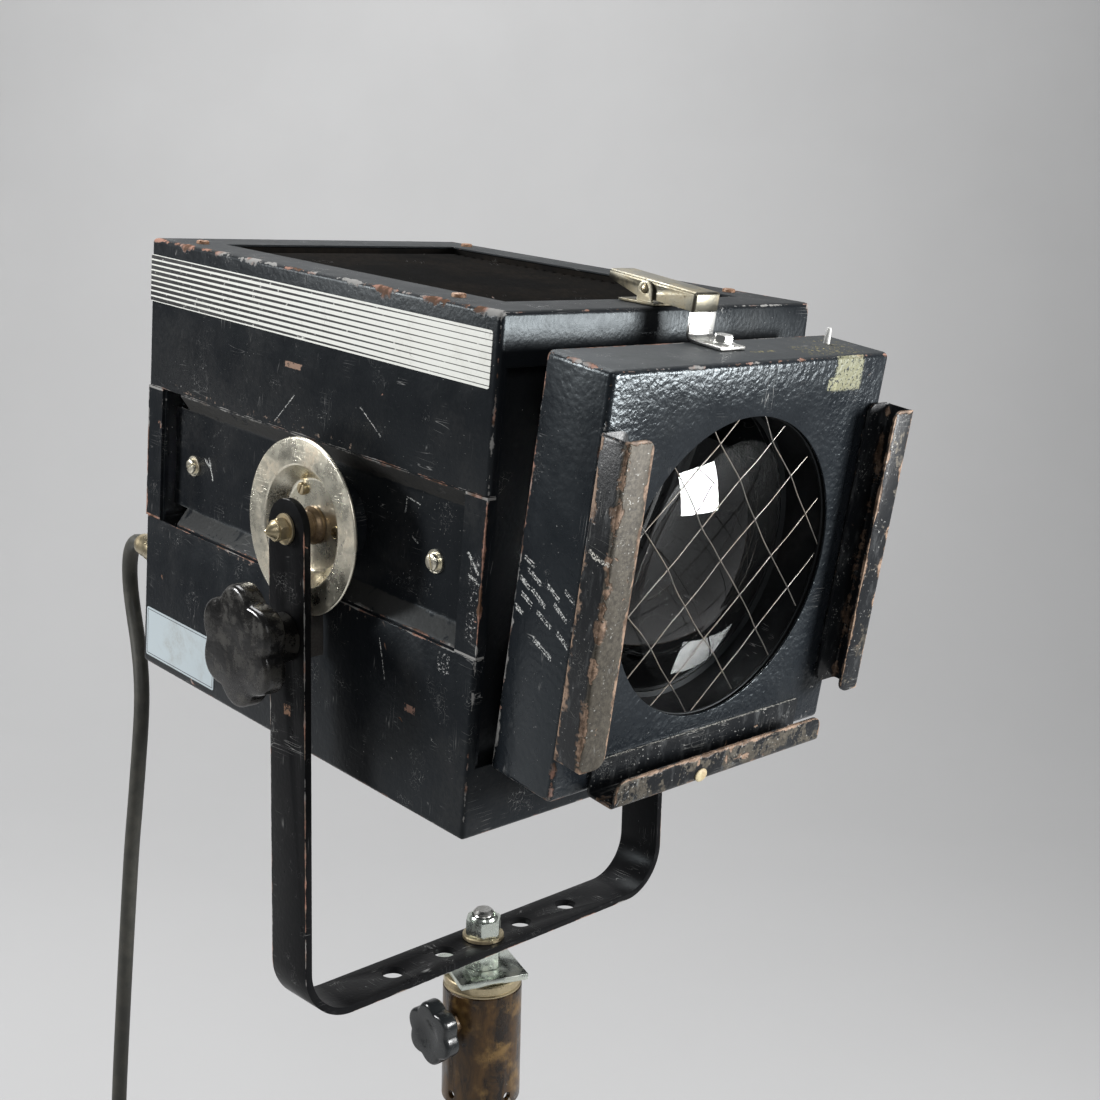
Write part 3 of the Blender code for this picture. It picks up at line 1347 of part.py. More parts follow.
def make_coil(entry):
    """Three hanging turns, side by side along X, that end in a straight tail."""
    centre_y = entry.y - coil_radius
    points = [entry + Vector((0, 0, -seat_gap)), entry + Vector((0, 0, -2 * cable_radius))]
    top = entry.z - 2 * cable_radius
    count = coil_turns * coil_points_per_turn
    for i in range(1, count + 1):
        angle = 2 * math.pi * i / coil_points_per_turn
        points.append(Vector((
            entry.x + coil_pitch * i / coil_points_per_turn,
            centre_y + coil_radius * math.cos(angle),
            top - coil_radius * math.sin(angle),
        )))
    end = points[-1] - Vector((0, 0, coil_tail))
    points.append(end)
    tube("cable_coil", points, cable_radius, cable_rubber, resolution=1)
    gap = least_gap(points, coil_points_per_turn // 2, 2 * cable_radius)
    print(f"cable coil: least gap between turns {gap * 1000:.2f} mm")
    return end, Vector((entry.x + coil_pitch * coil_turns / 2, centre_y, top + coil_radius))


def least_gap(points, apart, width):
    """The smallest gap between stretches of a cord that are not neighbours."""
    dense = []
    for first, second in zip(points, points[1:]):
        dense += [first.lerp(second, step / 4) for step in range(4)]
    return min((a - b).length for i, a in enumerate(dense) for b in dense[i + 4 * apart:]) - width


def make_tie(top):
    half_x = coil_pitch * coil_turns / 2 + cable_radius + tie_slack
    half_z = cable_radius + tie_slack
    ring = []
    for extra in (tie_thickness, 0.0):
        x, z, r = half_x + extra, half_z + extra, 0.003 + extra
        ring.append(arc(x - r, z - r, r, 0, 90, 3) + arc(-x + r, z - r, r, 90, 180, 3)
                    + arc(-x + r, -z + r, r, 180, 270, 3) + arc(x - r, -z + r, r, 270, 360, 3))
    plate("cable_tie", ring, tie_width, top, (math.pi / 2, 0, 0), plug_rubber)


def make_plug(end):
    plug = turned(
        "plug",
        [(plug_neck_radius * 0.8, 0.0), (plug_neck_radius, -plug_neck_length), (plug_radius * 0.8, -plug_neck_length - 0.006),
         (plug_radius, -plug_neck_length - 0.012), (plug_radius, -plug_neck_length - plug_length),
         (0.0, -plug_neck_length - plug_length), (0.0, 0.0)],
        end - Vector((0, 0, seat_gap)), UPRIGHT, plug_rubber, steps=32,
    )
    face = end.z - seat_gap - plug_neck_length - plug_length
    for side in (-1, 1):
        pin = rod(f"plug_pin_{side}", plug_pin_radius, plug_pin_length + 0.005,
                  (end.x + side * plug_pin_half_spacing, end.y, face - plug_pin_length), sides=12)
        fuse(plug, pin)


# Build

make_socket()
make_socket_top()
make_stand_bolt()
make_stand_nuts()
make_yoke()
make_clamp_jaw()
make_tilt_knob()
make_socket_knob()
make_pivots()
make_covers()
make_posts()
make_side_tray("side_tray_left", -1)
make_side_tray("side_tray_right", 1)
make_panels()
make_louvres()
make_latch()
make_lever()
make_lens_box()
make_lens()
make_guard()
make_side_runner("frame_runner_left", -1)
make_side_runner("frame_runner_right", 1)
make_bottom_runner()
make_catch_strap()
make_hinge()
make_rails()
make_carriage()
bpy.context.view_layer.update()
make_gland()
coil_end, coil_top = make_coil(make_cable())
make_tie(coil_top)
make_plug(coil_end)
bpy.context.view_layer.update()
print(f"{len([o for o in parts.objects if o.type != 'EMPTY'])} sub-parts")
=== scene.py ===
import bpy
import bmesh
import functools
import math
import random
from mathutils import Matrix, Vector


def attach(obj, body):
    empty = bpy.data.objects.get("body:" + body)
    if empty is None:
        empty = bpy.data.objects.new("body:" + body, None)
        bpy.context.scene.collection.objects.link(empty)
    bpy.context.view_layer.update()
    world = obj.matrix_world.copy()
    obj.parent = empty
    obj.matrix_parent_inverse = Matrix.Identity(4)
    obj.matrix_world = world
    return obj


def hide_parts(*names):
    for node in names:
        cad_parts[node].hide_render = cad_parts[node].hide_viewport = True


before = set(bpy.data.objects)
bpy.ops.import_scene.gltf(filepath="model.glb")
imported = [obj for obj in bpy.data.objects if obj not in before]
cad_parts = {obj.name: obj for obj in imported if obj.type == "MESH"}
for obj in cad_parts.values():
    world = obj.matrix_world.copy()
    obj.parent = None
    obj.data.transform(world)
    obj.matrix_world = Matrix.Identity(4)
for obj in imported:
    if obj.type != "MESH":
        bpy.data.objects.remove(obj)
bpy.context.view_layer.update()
scene = bpy.context.scene

# camera, at the photograph's angle
cameraView = {
    "place": (-0.56955, -0.62917, 0.50524),
    "right": (0.7179, -0.6957, 0.0244),
    "up": (0.1098, 0.1478, 0.9829),
    "back": (-0.6874, -0.7029, 0.1826),
    "lens": 51.22,
    "shiftY": -0.0321,
}


def makeCamera():
    data = bpy.data.cameras.new("camera")
    data.lens = cameraView["lens"]
    data.sensor_width = 36
    data.sensor_fit = "HORIZONTAL"
    data.shift_y = cameraView["shiftY"]
    data.clip_end = 50
    camera = bpy.data.objects.new("camera", data)
    turn = Matrix([cameraView["right"], cameraView["up"], cameraView["back"]]).transposed()
    camera.matrix_world = Matrix.Translation(cameraView["place"]) @ turn.to_4x4()
    scene.collection.objects.link(camera)
    scene.camera = camera


makeCamera()
print("camera set")

# where the tilted housing, the leaning lens box and the latch lever sit
tiltAtRest = math.radians(4.86)
boxLean = math.radians(4.25)
leverIncline = math.radians(4.7)
pivotHeight = 0.355
hingeDrop = 0.0033
pivotInBody = Vector((0, 0.117, 0.127))
hingeInBody = Vector((0, -0.0054 + math.sin(boxLean) * hingeDrop, 0.0366 - math.cos(boxLean) * hingeDrop))
hingeInDoor = Vector((0, 0.0394, -hingeDrop))
leverInBody = Vector((0, 0.009, 0.2576))
bodyPlace = (
    Matrix.Translation((0, 0, pivotHeight))
    @ Matrix.Rotation(tiltAtRest, 4, "X")
    @ Matrix.Translation(-pivotInBody)
)
doorPlace = (
    bodyPlace
    @ Matrix.Translation(hingeInBody)
    @ Matrix.Rotation(boxLean, 4, "X")
    @ Matrix.Translation(-hingeInDoor)
)
leverPlace = bodyPlace @ Matrix.Translation(leverInBody) @ Matrix.Rotation(leverIncline, 4, "X")
toLeft = Matrix.Rotation(-math.pi / 2, 4, "Y")
toRight = Matrix.Rotation(math.pi / 2, 4, "Y")
toFront = Matrix.Rotation(math.pi / 2, 4, "X")
toBack = Matrix.Rotation(-math.pi / 2, 4, "X")
acrossTurn = Matrix.Rotation(-math.pi / 2, 4, "Z")
sideways = Matrix.Rotation(math.pi / 2, 4, "Z") @ toFront
upright = Matrix.Identity(4)


# mesh tools shared by the pieces

def finishPiece(name, bm, material, body, place=upright, smoothAngle=35, hides=()):
    bmesh.ops.transform(bm, matrix=place, verts=bm.verts)
    mesh = bpy.data.meshes.new(name)
    bm.to_mesh(mesh)
    bm.free()
    mesh.materials.append(material)
    piece = bpy.data.objects.new(name, mesh)
    scene.collection.objects.link(piece)
    mesh.shade_smooth()
    mesh.set_sharp_from_angle(angle=math.radians(smoothAngle))
    if body:
        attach(piece, body)
    if hides:
        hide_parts(*hides)
    return piece


def addBlock(bm, low, high):
    low, high = Vector(low), Vector(high)
    verts = bmesh.ops.create_cube(bm, size=1.0)["verts"]
    bmesh.ops.scale(bm, vec=high - low, verts=verts)
    bmesh.ops.translate(bm, vec=(low + high) / 2, verts=verts)


def addRound(bm, radius, length, base, turn=upright, sides=32):
    cone = bmesh.ops.create_cone(
        bm, cap_ends=True, segments=sides, radius1=radius, radius2=radius, depth=length)
    bmesh.ops.translate(bm, vec=(0, 0, length / 2), verts=cone["verts"])
    bmesh.ops.transform(bm, matrix=Matrix.Translation(base) @ turn, verts=cone["verts"])


def mergeInto(bm, part, place=upright):
    bmesh.ops.transform(part, matrix=place, verts=part.verts)
    mesh = bpy.data.meshes.new("merged")
    part.to_mesh(mesh)
    part.free()
    bm.from_mesh(mesh)
    bpy.data.meshes.remove(mesh)


def addHex(bm, acrossFlats, height, base, turn, chamfer):
    part = bmesh.new()
    radius = acrossFlats / 1.732  # from flats to corners
    bmesh.ops.create_cone(part, cap_ends=True, segments=6, radius1=radius, radius2=radius, depth=height)
    bmesh.ops.bevel(
        part, geom=part.verts[:], offset=chamfer, segments=1, profile=0.5, affect="VERTICES", material=-1)
    bmesh.ops.translate(part, vec=(0, 0, height / 2), verts=part.verts)
    mergeInto(bm, part, Matrix.Translation(base) @ turn)


def addSpun(bm, profile, steps, base=(0, 0, 0), turn=upright):
    # profile is (radius, height) pairs down the outer side
    part = bmesh.new()
    points = [part.verts.new((r, 0, h)) for r, h in profile]
    edges = [part.edges.new(pair) for pair in zip(points, points[1:])]
    if profile[0][0] > 1e-6 or profile[-1][0] > 1e-6:
        edges.append(part.edges.new((points[-1], points[0])))
    bmesh.ops.spin(
        part, geom=points + edges, cent=(0, 0, 0), axis=(0, 0, 1), angle=math.tau, steps=steps,
        use_merge=True, use_duplicate=False,
    )
    bmesh.ops.remove_doubles(part, verts=part.verts, dist=1e-6)
    bmesh.ops.recalc_face_normals(part, faces=part.faces)
    mergeInto(bm, part, Matrix.Translation(base) @ turn)


def spunMesh(profile, steps, base=(0, 0, 0), turn=upright):
    bm = bmesh.new()
    addSpun(bm, profile, steps, base, turn)
    return bm


def arcPoints(centreX, centreY, radius, start, end, steps):
    angles = [math.radians(start + (end - start) * i / steps) for i in range(steps + 1)]
    return [(centreX + radius * math.cos(a), centreY + radius * math.sin(a)) for a in angles]


def bentPath(corners, bend, steps=5):
    # a path whose inner corners are rounded
    path = [corners[0]]
    for before, corner, after in zip(corners, corners[1:], corners[2:]):
        a, c, b = Vector(before), Vector(corner), Vector(after)
        start, end = c + (a - c).normalized() * bend, c + (b - c).normalized() * bend
        shares = [step / steps for step in range(steps + 1)]
        path += [tuple(start.lerp(c, t).lerp(c.lerp(end, t), t)) for t in shares]
    return path + [corners[-1]]


def shiftNew(bm, made, shift):
    verts = [item for item in made["geom"] if isinstance(item, bmesh.types.BMVert)]
    bmesh.ops.translate(bm, vec=shift, verts=verts)
    bmesh.ops.recalc_face_normals(bm, faces=bm.faces)


def plateMesh(outline, thickness, place):
    # a flat outline in XY, centred on its thickness
    bm = bmesh.new()
    face = bm.faces.new([bm.verts.new((x, y, -thickness / 2)) for x, y in outline])
    shiftNew(bm, bmesh.ops.extrude_face_region(bm, geom=[face]), (0, 0, thickness))
    bmesh.ops.transform(bm, matrix=place, verts=bm.verts)
    return bm


def stripMesh(path, width, closed=False):
    # a sheet along a path in XZ, with its width along Y
    bm = bmesh.new()
    points = [bm.verts.new((x, -width / 2, z)) for x, z in path]
    following = points[1:] + points[:1] if closed else points[1:]
    edges = [bm.edges.new(pair) for pair in zip(points, following)]
    shiftNew(bm, bmesh.ops.extrude_edge_only(bm, edges=edges), (0, width, 0))
    return bm


def shellMesh(low, high, openSides, corner, segments=4):
    # a box without some of its sides, with rounded folds
    bm = bmesh.new()
    addBlock(bm, low, high)
    bm.normal_update()
    gone = [f for f in bm.faces if any(f.normal.dot(Vector(side)) > 0.9 for side in openSides)]
    bmesh.ops.delete(bm, geom=gone, context="FACES")
    folds = [edge for edge in bm.edges if len(edge.link_faces) == 2]
    bmesh.ops.bevel(
        bm, geom=folds, offset=corner, segments=segments, profile=0.5, affect="EDGES", material=-1)
    return bm


def looseObject(bm, name="tool"):
    mesh = bpy.data.meshes.new(name)
    bm.to_mesh(mesh)
    bm.free()
    piece = bpy.data.objects.new(name, mesh)
    scene.collection.objects.link(piece)
    return piece


def shaped(bm, wall=None, offset=-1.0, cuts=(), joins=(), keeps=(), bevel=0.0, bevelAngle=35, bevelSteps=2):
    # a wall, then joins, keeps and cuts, then fine rounded edges; gives back a mesh to finish
    piece = looseObject(bm, "blank")
    if wall:
        solid = piece.modifiers.new("wall", "SOLIDIFY")
        solid.thickness = wall
        solid.offset = offset
        solid.use_even_offset = True
    tools = []
    for operation, meshes in (("UNION", joins), ("INTERSECT", keeps), ("DIFFERENCE", cuts)):
        for toolMesh in meshes:
            tool = looseObject(toolMesh)
            tools.append(tool)
            step = piece.modifiers.new("shape", "BOOLEAN")
            step.operation = operation
            step.solver = "EXACT"
            step.object = tool
    if bevel:
        edge = piece.modifiers.new("edge", "BEVEL")
        edge.width = bevel
        edge.segments = bevelSteps
        edge.limit_method = "ANGLE"
        edge.angle_limit = math.radians(bevelAngle)
        edge.use_clamp_overlap = True
    bpy.context.view_layer.update()
    finished = piece.evaluated_get(bpy.context.evaluated_depsgraph_get())
    mesh = bpy.data.meshes.new_from_object(finished)
    for old in [piece] + tools:
        bpy.data.objects.remove(old, do_unlink=True)
    result = bmesh.new()
    result.from_mesh(mesh)
    bpy.data.meshes.remove(mesh)
    return result


def blockMesh(low, high):
    bm = bmesh.new()
    addBlock(bm, low, high)
    return bm


def roundMesh(radius, length, base, turn=upright, sides=48):
    bm = bmesh.new()
    addRound(bm, radius, length, base, turn, sides)
    return bm


# shader tools: sockets act as numbers, so that node maths reads as sums

class Signal:
    def __init__(self, tree, socket):
        self.tree = tree
        self.socket = socket

    def __add__(self, other):
        return calc("ADD", self, other)

    def __sub__(self, other):
        return calc("SUBTRACT", self, other)

    def __rsub__(self, other):
        return calc("SUBTRACT", other, self)

    def __mul__(self, other):
        return calc("MULTIPLY", self, other)

    def __truediv__(self, other):
        return calc("DIVIDE", self, other)

    def __abs__(self):
        return calc("ABSOLUTE", self)


def feed(socket, value):
    if isinstance(value, Signal):
        value.tree.links.new(value.socket, socket)
    elif value is not None:
        socket.default_value = value


def addNode(kind, *values):
    # a node of the tree that the first signal among the values belongs to
    tree = next(value.tree for value in values if isinstance(value, Signal))
    node = tree.nodes.new("ShaderNode" + kind)
    return tree, node


def calc(operation, *values, clamp=False):
    tree, node = addNode("Math", *values)
    node.operation = operation
    node.use_clamp = clamp
    for socket, value in zip(node.inputs, values):
        feed(socket, value)
    return Signal(tree, node.outputs[0])


def least(*values):
    return calc("MINIMUM", *values)


def most(*values):
    return calc("MAXIMUM", *values)


def vectorCalc(operation, first, second=None):
    tree, node = addNode("VectorMath", first)
    node.operation = operation
    feed(node.inputs[0], first)
    feed(node.inputs["Scale" if operation == "SCALE" else 1], second)
    isNumber = operation in ("DOT_PRODUCT", "LENGTH")
    return Signal(tree, node.outputs["Value" if isNumber else "Vector"])


def noiseOf(vector, scale, detail=3.0, roughness=0.55, distortion=0.0):
    tree, node = addNode("TexNoise", vector)
    feed(node.inputs["Vector"], vector)
    feed(node.inputs["Scale"], scale)
    node.inputs["Detail"].default_value = detail
    node.inputs["Roughness"].default_value = roughness
    node.inputs["Distortion"].default_value = distortion
    return Signal(tree, node.outputs["Fac"])


def remap(value, low, high, toLow=0.0, toHigh=1.0, soft=True):
    tree, node = addNode("MapRange", value)
    node.interpolation_type = "SMOOTHSTEP" if soft else "LINEAR"
    for label, number in (("From Min", low), ("From Max", high), ("To Min", toLow), ("To Max", toHigh)):
        feed(node.inputs[label], number)
    feed(node.inputs["Value"], value)
    return Signal(tree, node.outputs["Result"])


def mixColour(factor, first, second):
    tree, node = addNode("Mix", factor)
    node.data_type = "RGBA"
    feed(node.inputs[0], factor)
    for socket, value in ((node.inputs[6], first), (node.inputs[7], second)):
        feed(socket, (*value, 1.0) if isinstance(value, tuple) else value)
    return Signal(tree, node.outputs[2])


def splitVector(vector):
    tree, node = addNode("SeparateXYZ", vector)
    feed(node.inputs[0], vector)
    return [Signal(tree, socket) for socket in node.outputs]


def joinVector(x, y, z):
    tree, node = addNode("CombineXYZ", x)
    for socket, value in zip(node.inputs, (x, y, z)):
        feed(socket, value)
    return Signal(tree, node.outputs[0])


def stretched(vector, scale, turn=(0, 0, 0), move=(0, 0, 0), kind="POINT"):
    tree, node = addNode("Mapping", vector)
    node.vector_type = kind
    feed(node.inputs["Vector"], vector)
    node.inputs["Location"].default_value = move
    node.inputs["Rotation"].default_value = turn
    node.inputs["Scale"].default_value = scale
    return Signal(tree, node.outputs[0])


def newGroup(name, result, **inputs):
    # an input without a number is a vector
    tree = bpy.data.node_groups.new(name, "ShaderNodeTree")
    for label, number in inputs.items():
        kind = "NodeSocketVector" if number is None else "NodeSocketFloat"
        socket = tree.interface.new_socket(label, in_out="INPUT", socket_type=kind)
        if number is not None:
            socket.default_value = number
    tree.interface.new_socket(result, in_out="OUTPUT", socket_type="NodeSocketFloat")
    outputs = tree.nodes.new("NodeGroupInput").outputs
    given = [Signal(tree, outputs[label]) for label in inputs]
    return tree, given, tree.nodes.new("NodeGroupOutput").inputs[0]


def useGroup(group, vector, **values):
    tree, node = addNode("Group", vector)
    node.node_tree = group
    feed(node.inputs["Vector"], vector)
    for label, value in values.items():
        feed(node.inputs[label], value)
    return Signal(tree, node.outputs[0])


def makeOrangePeel():
    group, (vector, scale), height = newGroup("orangePeel", "Height", Vector=None, Scale=300.0)
    coarse = noiseOf(vector, scale, 1.5, 0.4)
    fine = noiseOf(vector, scale * 2.7, 2.0, 0.5)
    feed(height, coarse * 0.75 + fine * 0.25)
    return group


def makeBlotches():
    # soft dust or stain that gathers in clouds
    group, (vector, scale, cover), mask = newGroup("blotches", "Mask", Vector=None, Scale=30.0, Cover=0.4)
    cloud = noiseOf(vector, scale, 5.0, 0.62, 0.3)
    grain = noiseOf(vector, scale * 14.0, 3.0, 0.6)
    edge = 0.82 - cover * 0.62
    feed(mask, remap(cloud, edge - 0.12, edge + 0.12) * remap(grain, 0.3, 0.62, 0.35, 1.0))
    return group


def makeScratches():
    # thin straight marks in three directions, in patches
    group, (vector, scale, amount), mask = newGroup("scratches", "Mask", Vector=None, Scale=1.0, Amount=0.5)
    directions = (
        ((0.4, 0.9, 0.3), (26, 400, 400)),
        ((1.3, -0.5, 0.7), (400, 30, 340)),
        ((0.1, 2.2, -0.9), (340, 400, 22)),
    )
    total = None
    for number, (turn, stretch) in enumerate(directions):
        turned = stretched(vector, stretch, turn, (number * 0.37, 0, 0))
        line = noiseOf(vectorCalc("SCALE", turned, scale), 1.0, 1.0, 0.4)
        thin = remap(abs(line - 0.5), 0.0, 0.012, 1.0, 0.0)
        patch = noiseOf(stretched(vector, (46, 46, 46), (0, 0, 0), (number * 3.1, 1.7, 0.4)), 1.0, 2.0, 0.6)
        chosen = thin * remap(patch, 0.72 - amount * 0.25, 0.74)
        total = chosen if total is None else most(total, chosen)
    feed(mask, total)
    return group


def makeChips():
    # small flakes of lost paint
    group, (vector, scale, amount), mask = newGroup("paintChips", "Mask", Vector=None, Scale=90.0, Amount=0.4)
    flake = noiseOf(vector, scale, 2.5, 0.65, 0.6)
    area = noiseOf(vector, scale * 0.16, 2.0, 0.5)
    feed(mask, remap(flake + area * 0.55 - (1.0 - amount) * 0.22, 0.865, 0.89))
    return group


def makeSpecks():
    # fine pale dots, thicker in some places
    group, (vector, scale, amount), mask = newGroup("specks", "Mask", Vector=None, Scale=900.0, Amount=0.5)
    dots = noiseOf(vector, scale, 1.0, 0.3)
    level = 0.88 - amount * (noiseOf(vector, 60.0, 2.0, 0.6) * 0.36)
    feed(mask, remap(dots, level, level + 0.03))
    return group


def makeEdgeWearAndGlint():
    # wear along the twelve edges of a box, broken up by noise; on the housing the thin edge bands are also a
    # painted highlight on its rounded folds
    group, (vector, centre, half, width, breakup), mask = newGroup(
        "edgeWearAndGlint", "Mask", Vector=None, Centre=None, Half=None, Width=0.002, Breakup=90.0)
    inset = vectorCalc("SUBTRACT", half, vectorCalc("ABSOLUTE", vectorCalc("SUBTRACT", vector, centre)))
    x, y, z = splitVector(inset)
    nearest = least(least(x, y), z)
    furthest = most(most(x, y), z)
    middle = x + y + z - nearest - furthest
    reach = width * remap(noiseOf(vector, breakup, 4.0, 0.7), 0.42, 0.7, 0.05, 2.2, soft=False)
    near = remap(middle, reach * 0.55, reach, 1.0, 0.0)
    feed(mask, near * calc("GREATER_THAN", nearest, -0.0015))
    return group


def makePatch():
    # a ragged patch inside a box, for tape remains, smears and marks, and for the painted sheen on the tray's
    # bevel strips
    group, (vector, centre, half, breakup, cover), mask = newGroup(
        "raggedPatch", "Mask", Vector=None, Centre=None, Half=None, Breakup=200.0, Cover=0.6)
    share = vectorCalc("DIVIDE", vectorCalc("ABSOLUTE", vectorCalc("SUBTRACT", vector, centre)), half)
    x, y, z = splitVector(share)
    rough = noiseOf(vector, breakup, 5.0, 0.7, 0.4)
    inside = remap(most(most(x, y), z) + (rough - 0.5) * 0.9, 0.9, 1.0, 1.0, 0.0)
    feed(mask, inside * remap(rough, 0.72 - cover * 0.45, 0.78 - cover * 0.45))
    return group


def makeStroke():
    # a broken chalky line between two points; on the bottom runner it draws a painted highlight instead
    group, (vector, start, end, width), mask = newGroup(
        "strokeMark", "Mask", Vector=None, From=None, To=None, Width=0.001)
    line = vectorCalc("SUBTRACT", end, start)
    reach = vectorCalc("SUBTRACT", vector, start)
    lengths = vectorCalc("DOT_PRODUCT", reach, line), vectorCalc("DOT_PRODUCT", line, line)
    share = calc("DIVIDE", *lengths, clamp=True)
    distance = vectorCalc("LENGTH", vectorCalc("SUBTRACT", reach, vectorCalc("SCALE", line, share)))
    rough = noiseOf(vector, 330.0, 3.0, 0.7)
    grain = noiseOf(vector, 1500.0, 2.0, 0.6)
    wide = width * remap(rough, 0.3, 0.7, 0.2, 1.7, soft=False)
    feed(mask, remap(distance, wide * 0.5, wide, 1.0, 0.0) * remap(grain, 0.47, 0.55))
    return group


orangePeel = makeOrangePeel()
blotches = makeBlotches()
scratches = makeScratches()
paintChips = makeChips()
specks = makeSpecks()
edgeWearAndGlint = makeEdgeWearAndGlint()
raggedPatch = makePatch()
strokeMark = makeStroke()


def startMaterial(name, place=upright):
    material = bpy.data.materials.new(name)
    material.use_nodes = True
    tree = material.node_tree
    vector = Signal(tree, tree.nodes.new("ShaderNodeTexCoord").outputs["Object"])
    if place != upright:  # reads the piece's own upright frame
        vector = stretched(vector, (1, 1, 1), tuple(place.to_euler()), tuple(place.translation), "TEXTURE")
    return material, tree.nodes["Principled BSDF"], vector


def addBump(shader, height, distance):
    tree, bump = addNode("Bump", height)
    bump.inputs["Strength"].default_value = 1.0
    bump.inputs["Distance"].default_value = distance
    feed(bump.inputs["Height"], height)
    tree.links.new(bump.outputs["Normal"], shader.inputs["Normal"])


def dressed(shader, colour, rough):
    feed(shader.inputs["Base Color"], colour)
    feed(shader.inputs["Roughness"], rough)


enamelLook = {
    "paint": (0.0085, 0.0100, 0.0122), "dust": (0.065, 0.062, 0.058),
    "dustScale": 24.0, "dustCover": 0.42, "dustDepth": 0.16,
    "scratch": (0.42, 0.42, 0.41), "scratchScale": 1.0, "scratchAmount": 0.55, "scratchDepth": 0.65,
    "speckScale": 1250.0, "speckAmount": 0.5, "chipScale": 95.0, "chipAmount": 0.24, "edgeBreakup": 75.0,
    "bare": (0.10, 0.052, 0.030), "primer": (0.32, 0.175, 0.130), "silver": (0.27, 0.265, 0.255),
    "roughness": 0.32, "roughnessSpread": 0.26, "specular": 0.19, "sheenTint": (0.84, 0.95, 1.0),
    "chalk": (0.60, 0.61, 0.59), "peelScale": 420.0, "peelDepth": 0.00016,
}


def makeEnamel(name, place=upright, edges=(), patches=(), strokes=(), topDust=None, **changes):
    # edges and patches are boxes, as (centre, half size, ...), and topDust is (height, depth)
    look = {**enamelLook, **changes}
    material, shader, vector = startMaterial(name, place)
    film = useGroup(blotches, vector, Scale=look["dustScale"], Cover=look["dustCover"]) * look["dustDepth"]
    if topDust:
        top, topDepth = topDust
        onTop = remap(splitVector(vector)[2], top - 0.0012, top)
        cloud = noiseOf(vector, 40.0, 5.0, 0.65)
        film = most(film, onTop * remap(cloud, 0.3, 0.7, topDepth * 0.4, topDepth))
    colour = mixColour(film, look["paint"], look["dust"])
    marks = useGroup(scratches, vector, Scale=look["scratchScale"], Amount=look["scratchAmount"])
    colour = mixColour(marks * look["scratchDepth"], colour, look["scratch"])
    flakesAndGlint = useGroup(paintChips, vector, Scale=look["chipScale"], Amount=look["chipAmount"])
    # edge bands are worn paint, and on the housing also a painted highlight along its rounded folds
    for centre, half, width in edges:
        worn = useGroup(edgeWearAndGlint, vector, Centre=centre, Half=half, Width=width, Breakup=look["edgeBreakup"])
        flakesAndGlint = most(flakesAndGlint, worn)
    dots = useGroup(specks, vector, Scale=look["speckScale"], Amount=look["speckAmount"])
    colour = mixColour(dots * 0.8, colour, look["scratch"])
    under = mixColour(remap(noiseOf(vector, 120.0, 3.0, 0.6), 0.42, 0.58), look["bare"], look["primer"])
    under = mixColour(remap(noiseOf(vector, 34.0, 3.0, 0.6), 0.47, 0.56), under, look["silver"])
    colour = mixColour(flakesAndGlint, colour, under)
    rough = remap(film * 0.8 + flakesAndGlint * 0.7, 0.0, 1.0, look["roughness"], 0.85, soft=False)
    rough = rough + (noiseOf(vector, 55.0, 3.0, 0.6) - 0.5) * look["roughnessSpread"]
    if topDust:
        rough = rough + onTop * 0.3
    for centre, half, breakup, cover, tint, depth in patches:
        patch = useGroup(raggedPatch, vector, Centre=centre, Half=half, Breakup=breakup, Cover=cover) * depth
        colour = mixColour(patch, colour, tint)
        rough = rough + patch * 0.3
    if strokes:
        lines = [useGroup(strokeMark, vector, From=a, To=b, Width=width) for a, b, width in strokes]
        chalk = functools.reduce(most, lines)
        colour = mixColour(chalk, colour, look["chalk"])
        rough = rough + chalk * 0.4
    dressed(shader, colour, rough)
    shader.inputs["Specular IOR Level"].default_value = look["specular"]
    shader.inputs["Specular Tint"].default_value = (*look["sheenTint"], 1.0)
    height = useGroup(orangePeel, vector, Scale=look["peelScale"])
    if "flatFrom" in look:  # the hammered face is the front one
        flat = look["flatFrom"]
        height = height * remap(splitVector(vector)[1], flat, flat + 0.003, 1.0, 0.35)
    addBump(shader, height - flakesAndGlint * 0.6, look["peelDepth"])
    return material


steelLook = {
    "metal": (0.52, 0.52, 0.50), "stain": (0.20, 0.15, 0.10),
    "stainScale": 60.0, "stainCover": 0.35, "stainDepth": 0.6,
    "speck": (0.08, 0.06, 0.05), "speckScale": 700.0, "speckDepth": 0.5,
    "scratchScale": 1.6, "scratchAmount": 0.6, "grainScale": 900.0, "grainDepth": 0.00006,
    "roughness": 0.28, "stainRoughness": 0.65, "metallic": 1.0, "stainMetallic": 0.4,
}


def makeMetal(name, **changes):
    look = {**steelLook, **changes}
    material, shader, vector = startMaterial(name)
    stain = useGroup(blotches, vector, Scale=look["stainScale"], Cover=look["stainCover"])
    stain = stain * look["stainDepth"]
    colour = mixColour(stain, look["metal"], look["stain"])
    spots = remap(noiseOf(vector, look["speckScale"], 3.0, 0.7), 0.6, 0.68) * look["speckDepth"]
    colour = mixColour(spots, colour, look["speck"])
    marks = useGroup(scratches, vector, Scale=look["scratchScale"], Amount=look["scratchAmount"])
    rough = remap(stain + spots, 0.0, 1.0, look["roughness"], look["stainRoughness"], soft=False)
    rough = rough + (noiseOf(vector, 120.0, 4.0, 0.6) - 0.5) * 0.25
    dressed(shader, colour, rough)
    metallic = remap(most(stain, spots), 0.0, 1.0, look["metallic"], look["stainMetallic"], soft=False)
    feed(shader.inputs["Metallic"], metallic)
    grain = noiseOf(vector, look["grainScale"], 3.0, 0.6)
    addBump(shader, grain * 0.5 - marks * 0.5, look["grainDepth"])
    return material


plasticLook = {
    "plastic": (0.0065, 0.0062, 0.006), "scuff": (0.085, 0.080, 0.068),
    "scuffScale": 105.0, "scuffCover": 0.42, "scuffDepth": 0.5,
    "scratch": (0.30, 0.28, 0.26), "scratchScale": 2.0, "scratchAmount": 0.55, "scratchDepth": 0.5,
    "roughness": 0.17, "scuffRoughness": 0.62, "grainScale": 500.0, "grainDepth": 0.00012,
}


